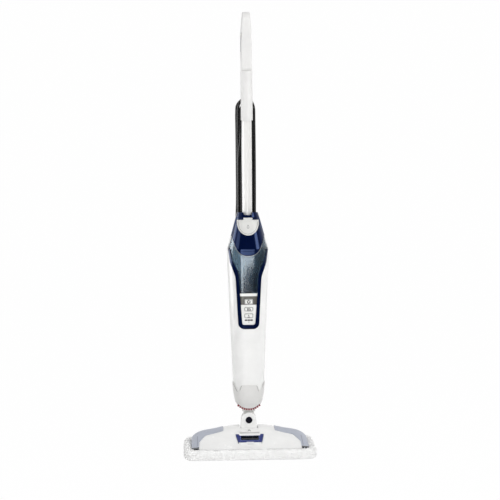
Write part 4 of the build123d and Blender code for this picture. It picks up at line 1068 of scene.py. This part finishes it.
def lay_floor():
    """A sweep of pale paper, flat under the mop and rising far behind it."""
    points = [(side * PAPER_HALF, y, z - PAPER_DROP) for y, z in SWEEP for side in (-1, 1)]
    faces = [(a, a + 1, a + 3, a + 2) for a in range(0, len(points) - 2, 2)]
    mesh = bpy.data.meshes.new("paper_sweep")
    mesh.from_pydata(points, [], faces)
    mesh.shade_smooth()
    set_out("paper_sweep", mesh)
    material, tree, shader = blank_material("pale paper")
    place = own_place(tree)
    fibres = cloud(tree, place, 300.0)
    feed(tree, shader, {"Roughness": spread(tree, fibres, 0.3, 0.7, 0.85, 0.95),
                        "Base Color": (0.86, 0.86, 0.86, 1.0)})
    rays, clear = clear_rays(tree)
    glossy = rays["Is Glossy Ray"]
    in_front = spread(tree, axes(tree, place)["Y"], 0.3, -0.9, 0.0, 0.93)
    level = calc(tree, "SUBTRACT", 1.0, calc(tree, "MULTIPLY", glossy, in_front))
    white = put(tree, "Emission", {"Color": WHITE, "Strength": level})
    share = any_of(tree, glossy, calc(tree, "MULTIPLY", clear, 0.985))
    mix_to(tree, "OUTPUT_MATERIAL", share, shader, white)
    mesh.materials.append(material)


def set_world(scene):
    """White where it is seen, through glass too; a plain room that lights and is mirrored."""
    world = bpy.data.worlds.new("studio")
    world.use_nodes = True
    scene.world = world
    tree = world.node_tree
    tree.nodes.clear()
    put(tree, "OutputWorld")
    rays, clear = clear_rays(tree)
    seen = any_of(tree, clear, rays["Is Glossy Ray"])
    way = axes(tree, put(tree, "TexCoord").outputs["Generated"])
    behind = spread(tree, way["Y"], -0.7, 0.2, 0.06, 1.0)
    left = spread(tree, way["X"], -0.35, -0.75, 0.0, 0.9)
    room = put(tree, "Background", {"Color": WHITE, "Strength": 0.58})
    strength = any_of(tree, clear, behind, left)
    white = put(tree, "Background", {"Color": WHITE, "Strength": strength})
    mix_to(tree, "OUTPUT_WORLD", seen, room, white)


def clear_rays(tree):
    """The ray kinds, and a mask for rays that look at the set, straight or through glass."""
    rays = put(tree, "LightPath").outputs
    return rays, any_of(tree, rays["Is Camera Ray"], rays["Is Transmission Ray"])


def mix_to(tree, kind, share, first, second):
    """Joins a mix of two shaders to the tree's output."""
    mixed = put(tree, "MixShader", {0: share, 1: first.outputs[0], 2: second.outputs[0]})
    output = next(node for node in tree.nodes if node.type == kind)
    feed(tree, output, {"Surface": mixed.outputs[0]})


def area_light(name, place, power, size):
    data = bpy.data.lights.new(name, "AREA")
    data.size = size
    data.energy = power
    light = set_out(name, data)
    light.location = place
    return light


def hang_card(name, place, wide, tall, power, slant=0.0, turn=0.0):
    """A panel of light that only shows as a reflection in gloss and clear plastic."""
    card = area_light(name, place, power, wide)
    card.data.shape = "RECTANGLE"
    card.data.size_y = tall
    card.rotation_euler = (Matrix.Rotation(turn, 4, "Z")
                           @ Matrix.Rotation(pi / 2, 4, "X")
                           @ Matrix.Rotation(slant, 4, "Z")).to_euler()
    card.visible_diffuse = False
    card.visible_camera = False


def hang_lamp(name, place, size, power, target):
    aim = Vector(target) - Vector(place)
    area_light(name, place, power, size).rotation_euler = aim.to_track_quat("-Z", "Y").to_euler()


class MOP_OT_stage(bpy.types.Operator):
    """Sets the floor, backdrop, lamps, world and camera"""
    bl_idname = "mop.stage"
    bl_label = "Studio stage"

    def execute(self, context):
        settings = context.scene.mop_stage
        scene = context.scene
        scene.view_settings.view_transform = "Standard"
        lay_floor()
        set_world(scene)
        hang_lamp("key lamp", (1.7, -2.4, 2.1), 1.5, settings.key_power, (0, 0, 0.6))
        hang_lamp("fill lamp", (-2.2, -2.0, 1.2), 1.6, settings.fill_power, (0, 0, 0.6))
        hang_card("window card", (-0.1435, -2.0, 0.289), 0.50, 0.80, 7.5, slant=radians(-20.9))
        hang_card("side card", (-2.2, 0.5, 0.75), 1.4, 1.8, 34.0, turn=radians(-102))
        set_camera(scene, settings)
        return {"FINISHED"}


class MOP_PT_dresser(bpy.types.Panel):
    """Sizes, colours and steps of the steam mop"""
    bl_label = "Steam Mop"
    bl_idname = "MOP_PT_dresser"
    bl_space_type = "VIEW_3D"
    bl_region_type = "UI"
    bl_category = "Steam Mop"

    def draw(self, context):
        layout = self.layout
        scene = context.scene
        for title, group in (("Colours", scene.mop_colours), ("Pad", scene.mop_pad),
                             ("Cord", scene.mop_cord), ("Stage", scene.mop_stage)):
            layout.label(text=title)
            for name in group.bl_rna.properties.keys():
                if name not in {"rna_type", "name"}:
                    layout.prop(group, name)
        for operator in OPERATORS:
            layout.operator(operator.bl_idname)


GROUPS = {"mop_colours": MopColours, "mop_pad": MopPad, "mop_cord": MopCord,
          "mop_stage": MopStage}
OPERATORS = (MOP_OT_finishes, MOP_OT_fleece_pad, MOP_OT_cord, MOP_OT_key_marks, MOP_OT_stage)


def register():
    for cls in (*GROUPS.values(), *OPERATORS, MOP_PT_dresser):
        bpy.utils.register_class(cls)
    for name, group in GROUPS.items():
        setattr(bpy.types.Scene, name, PointerProperty(type=group))


def unregister():
    for name in GROUPS:
        delattr(bpy.types.Scene, name)
    for cls in (MOP_PT_dresser, *reversed(OPERATORS), *reversed(list(GROUPS.values()))):
        bpy.utils.unregister_class(cls)


def main():
    register()
    bpy.ops.mop.finishes()
    bpy.ops.mop.fleece_pad()
    bpy.ops.mop.cord()
    bpy.ops.mop.key_marks()
    bpy.ops.mop.stage()


if __name__ == "__main__":
    main()
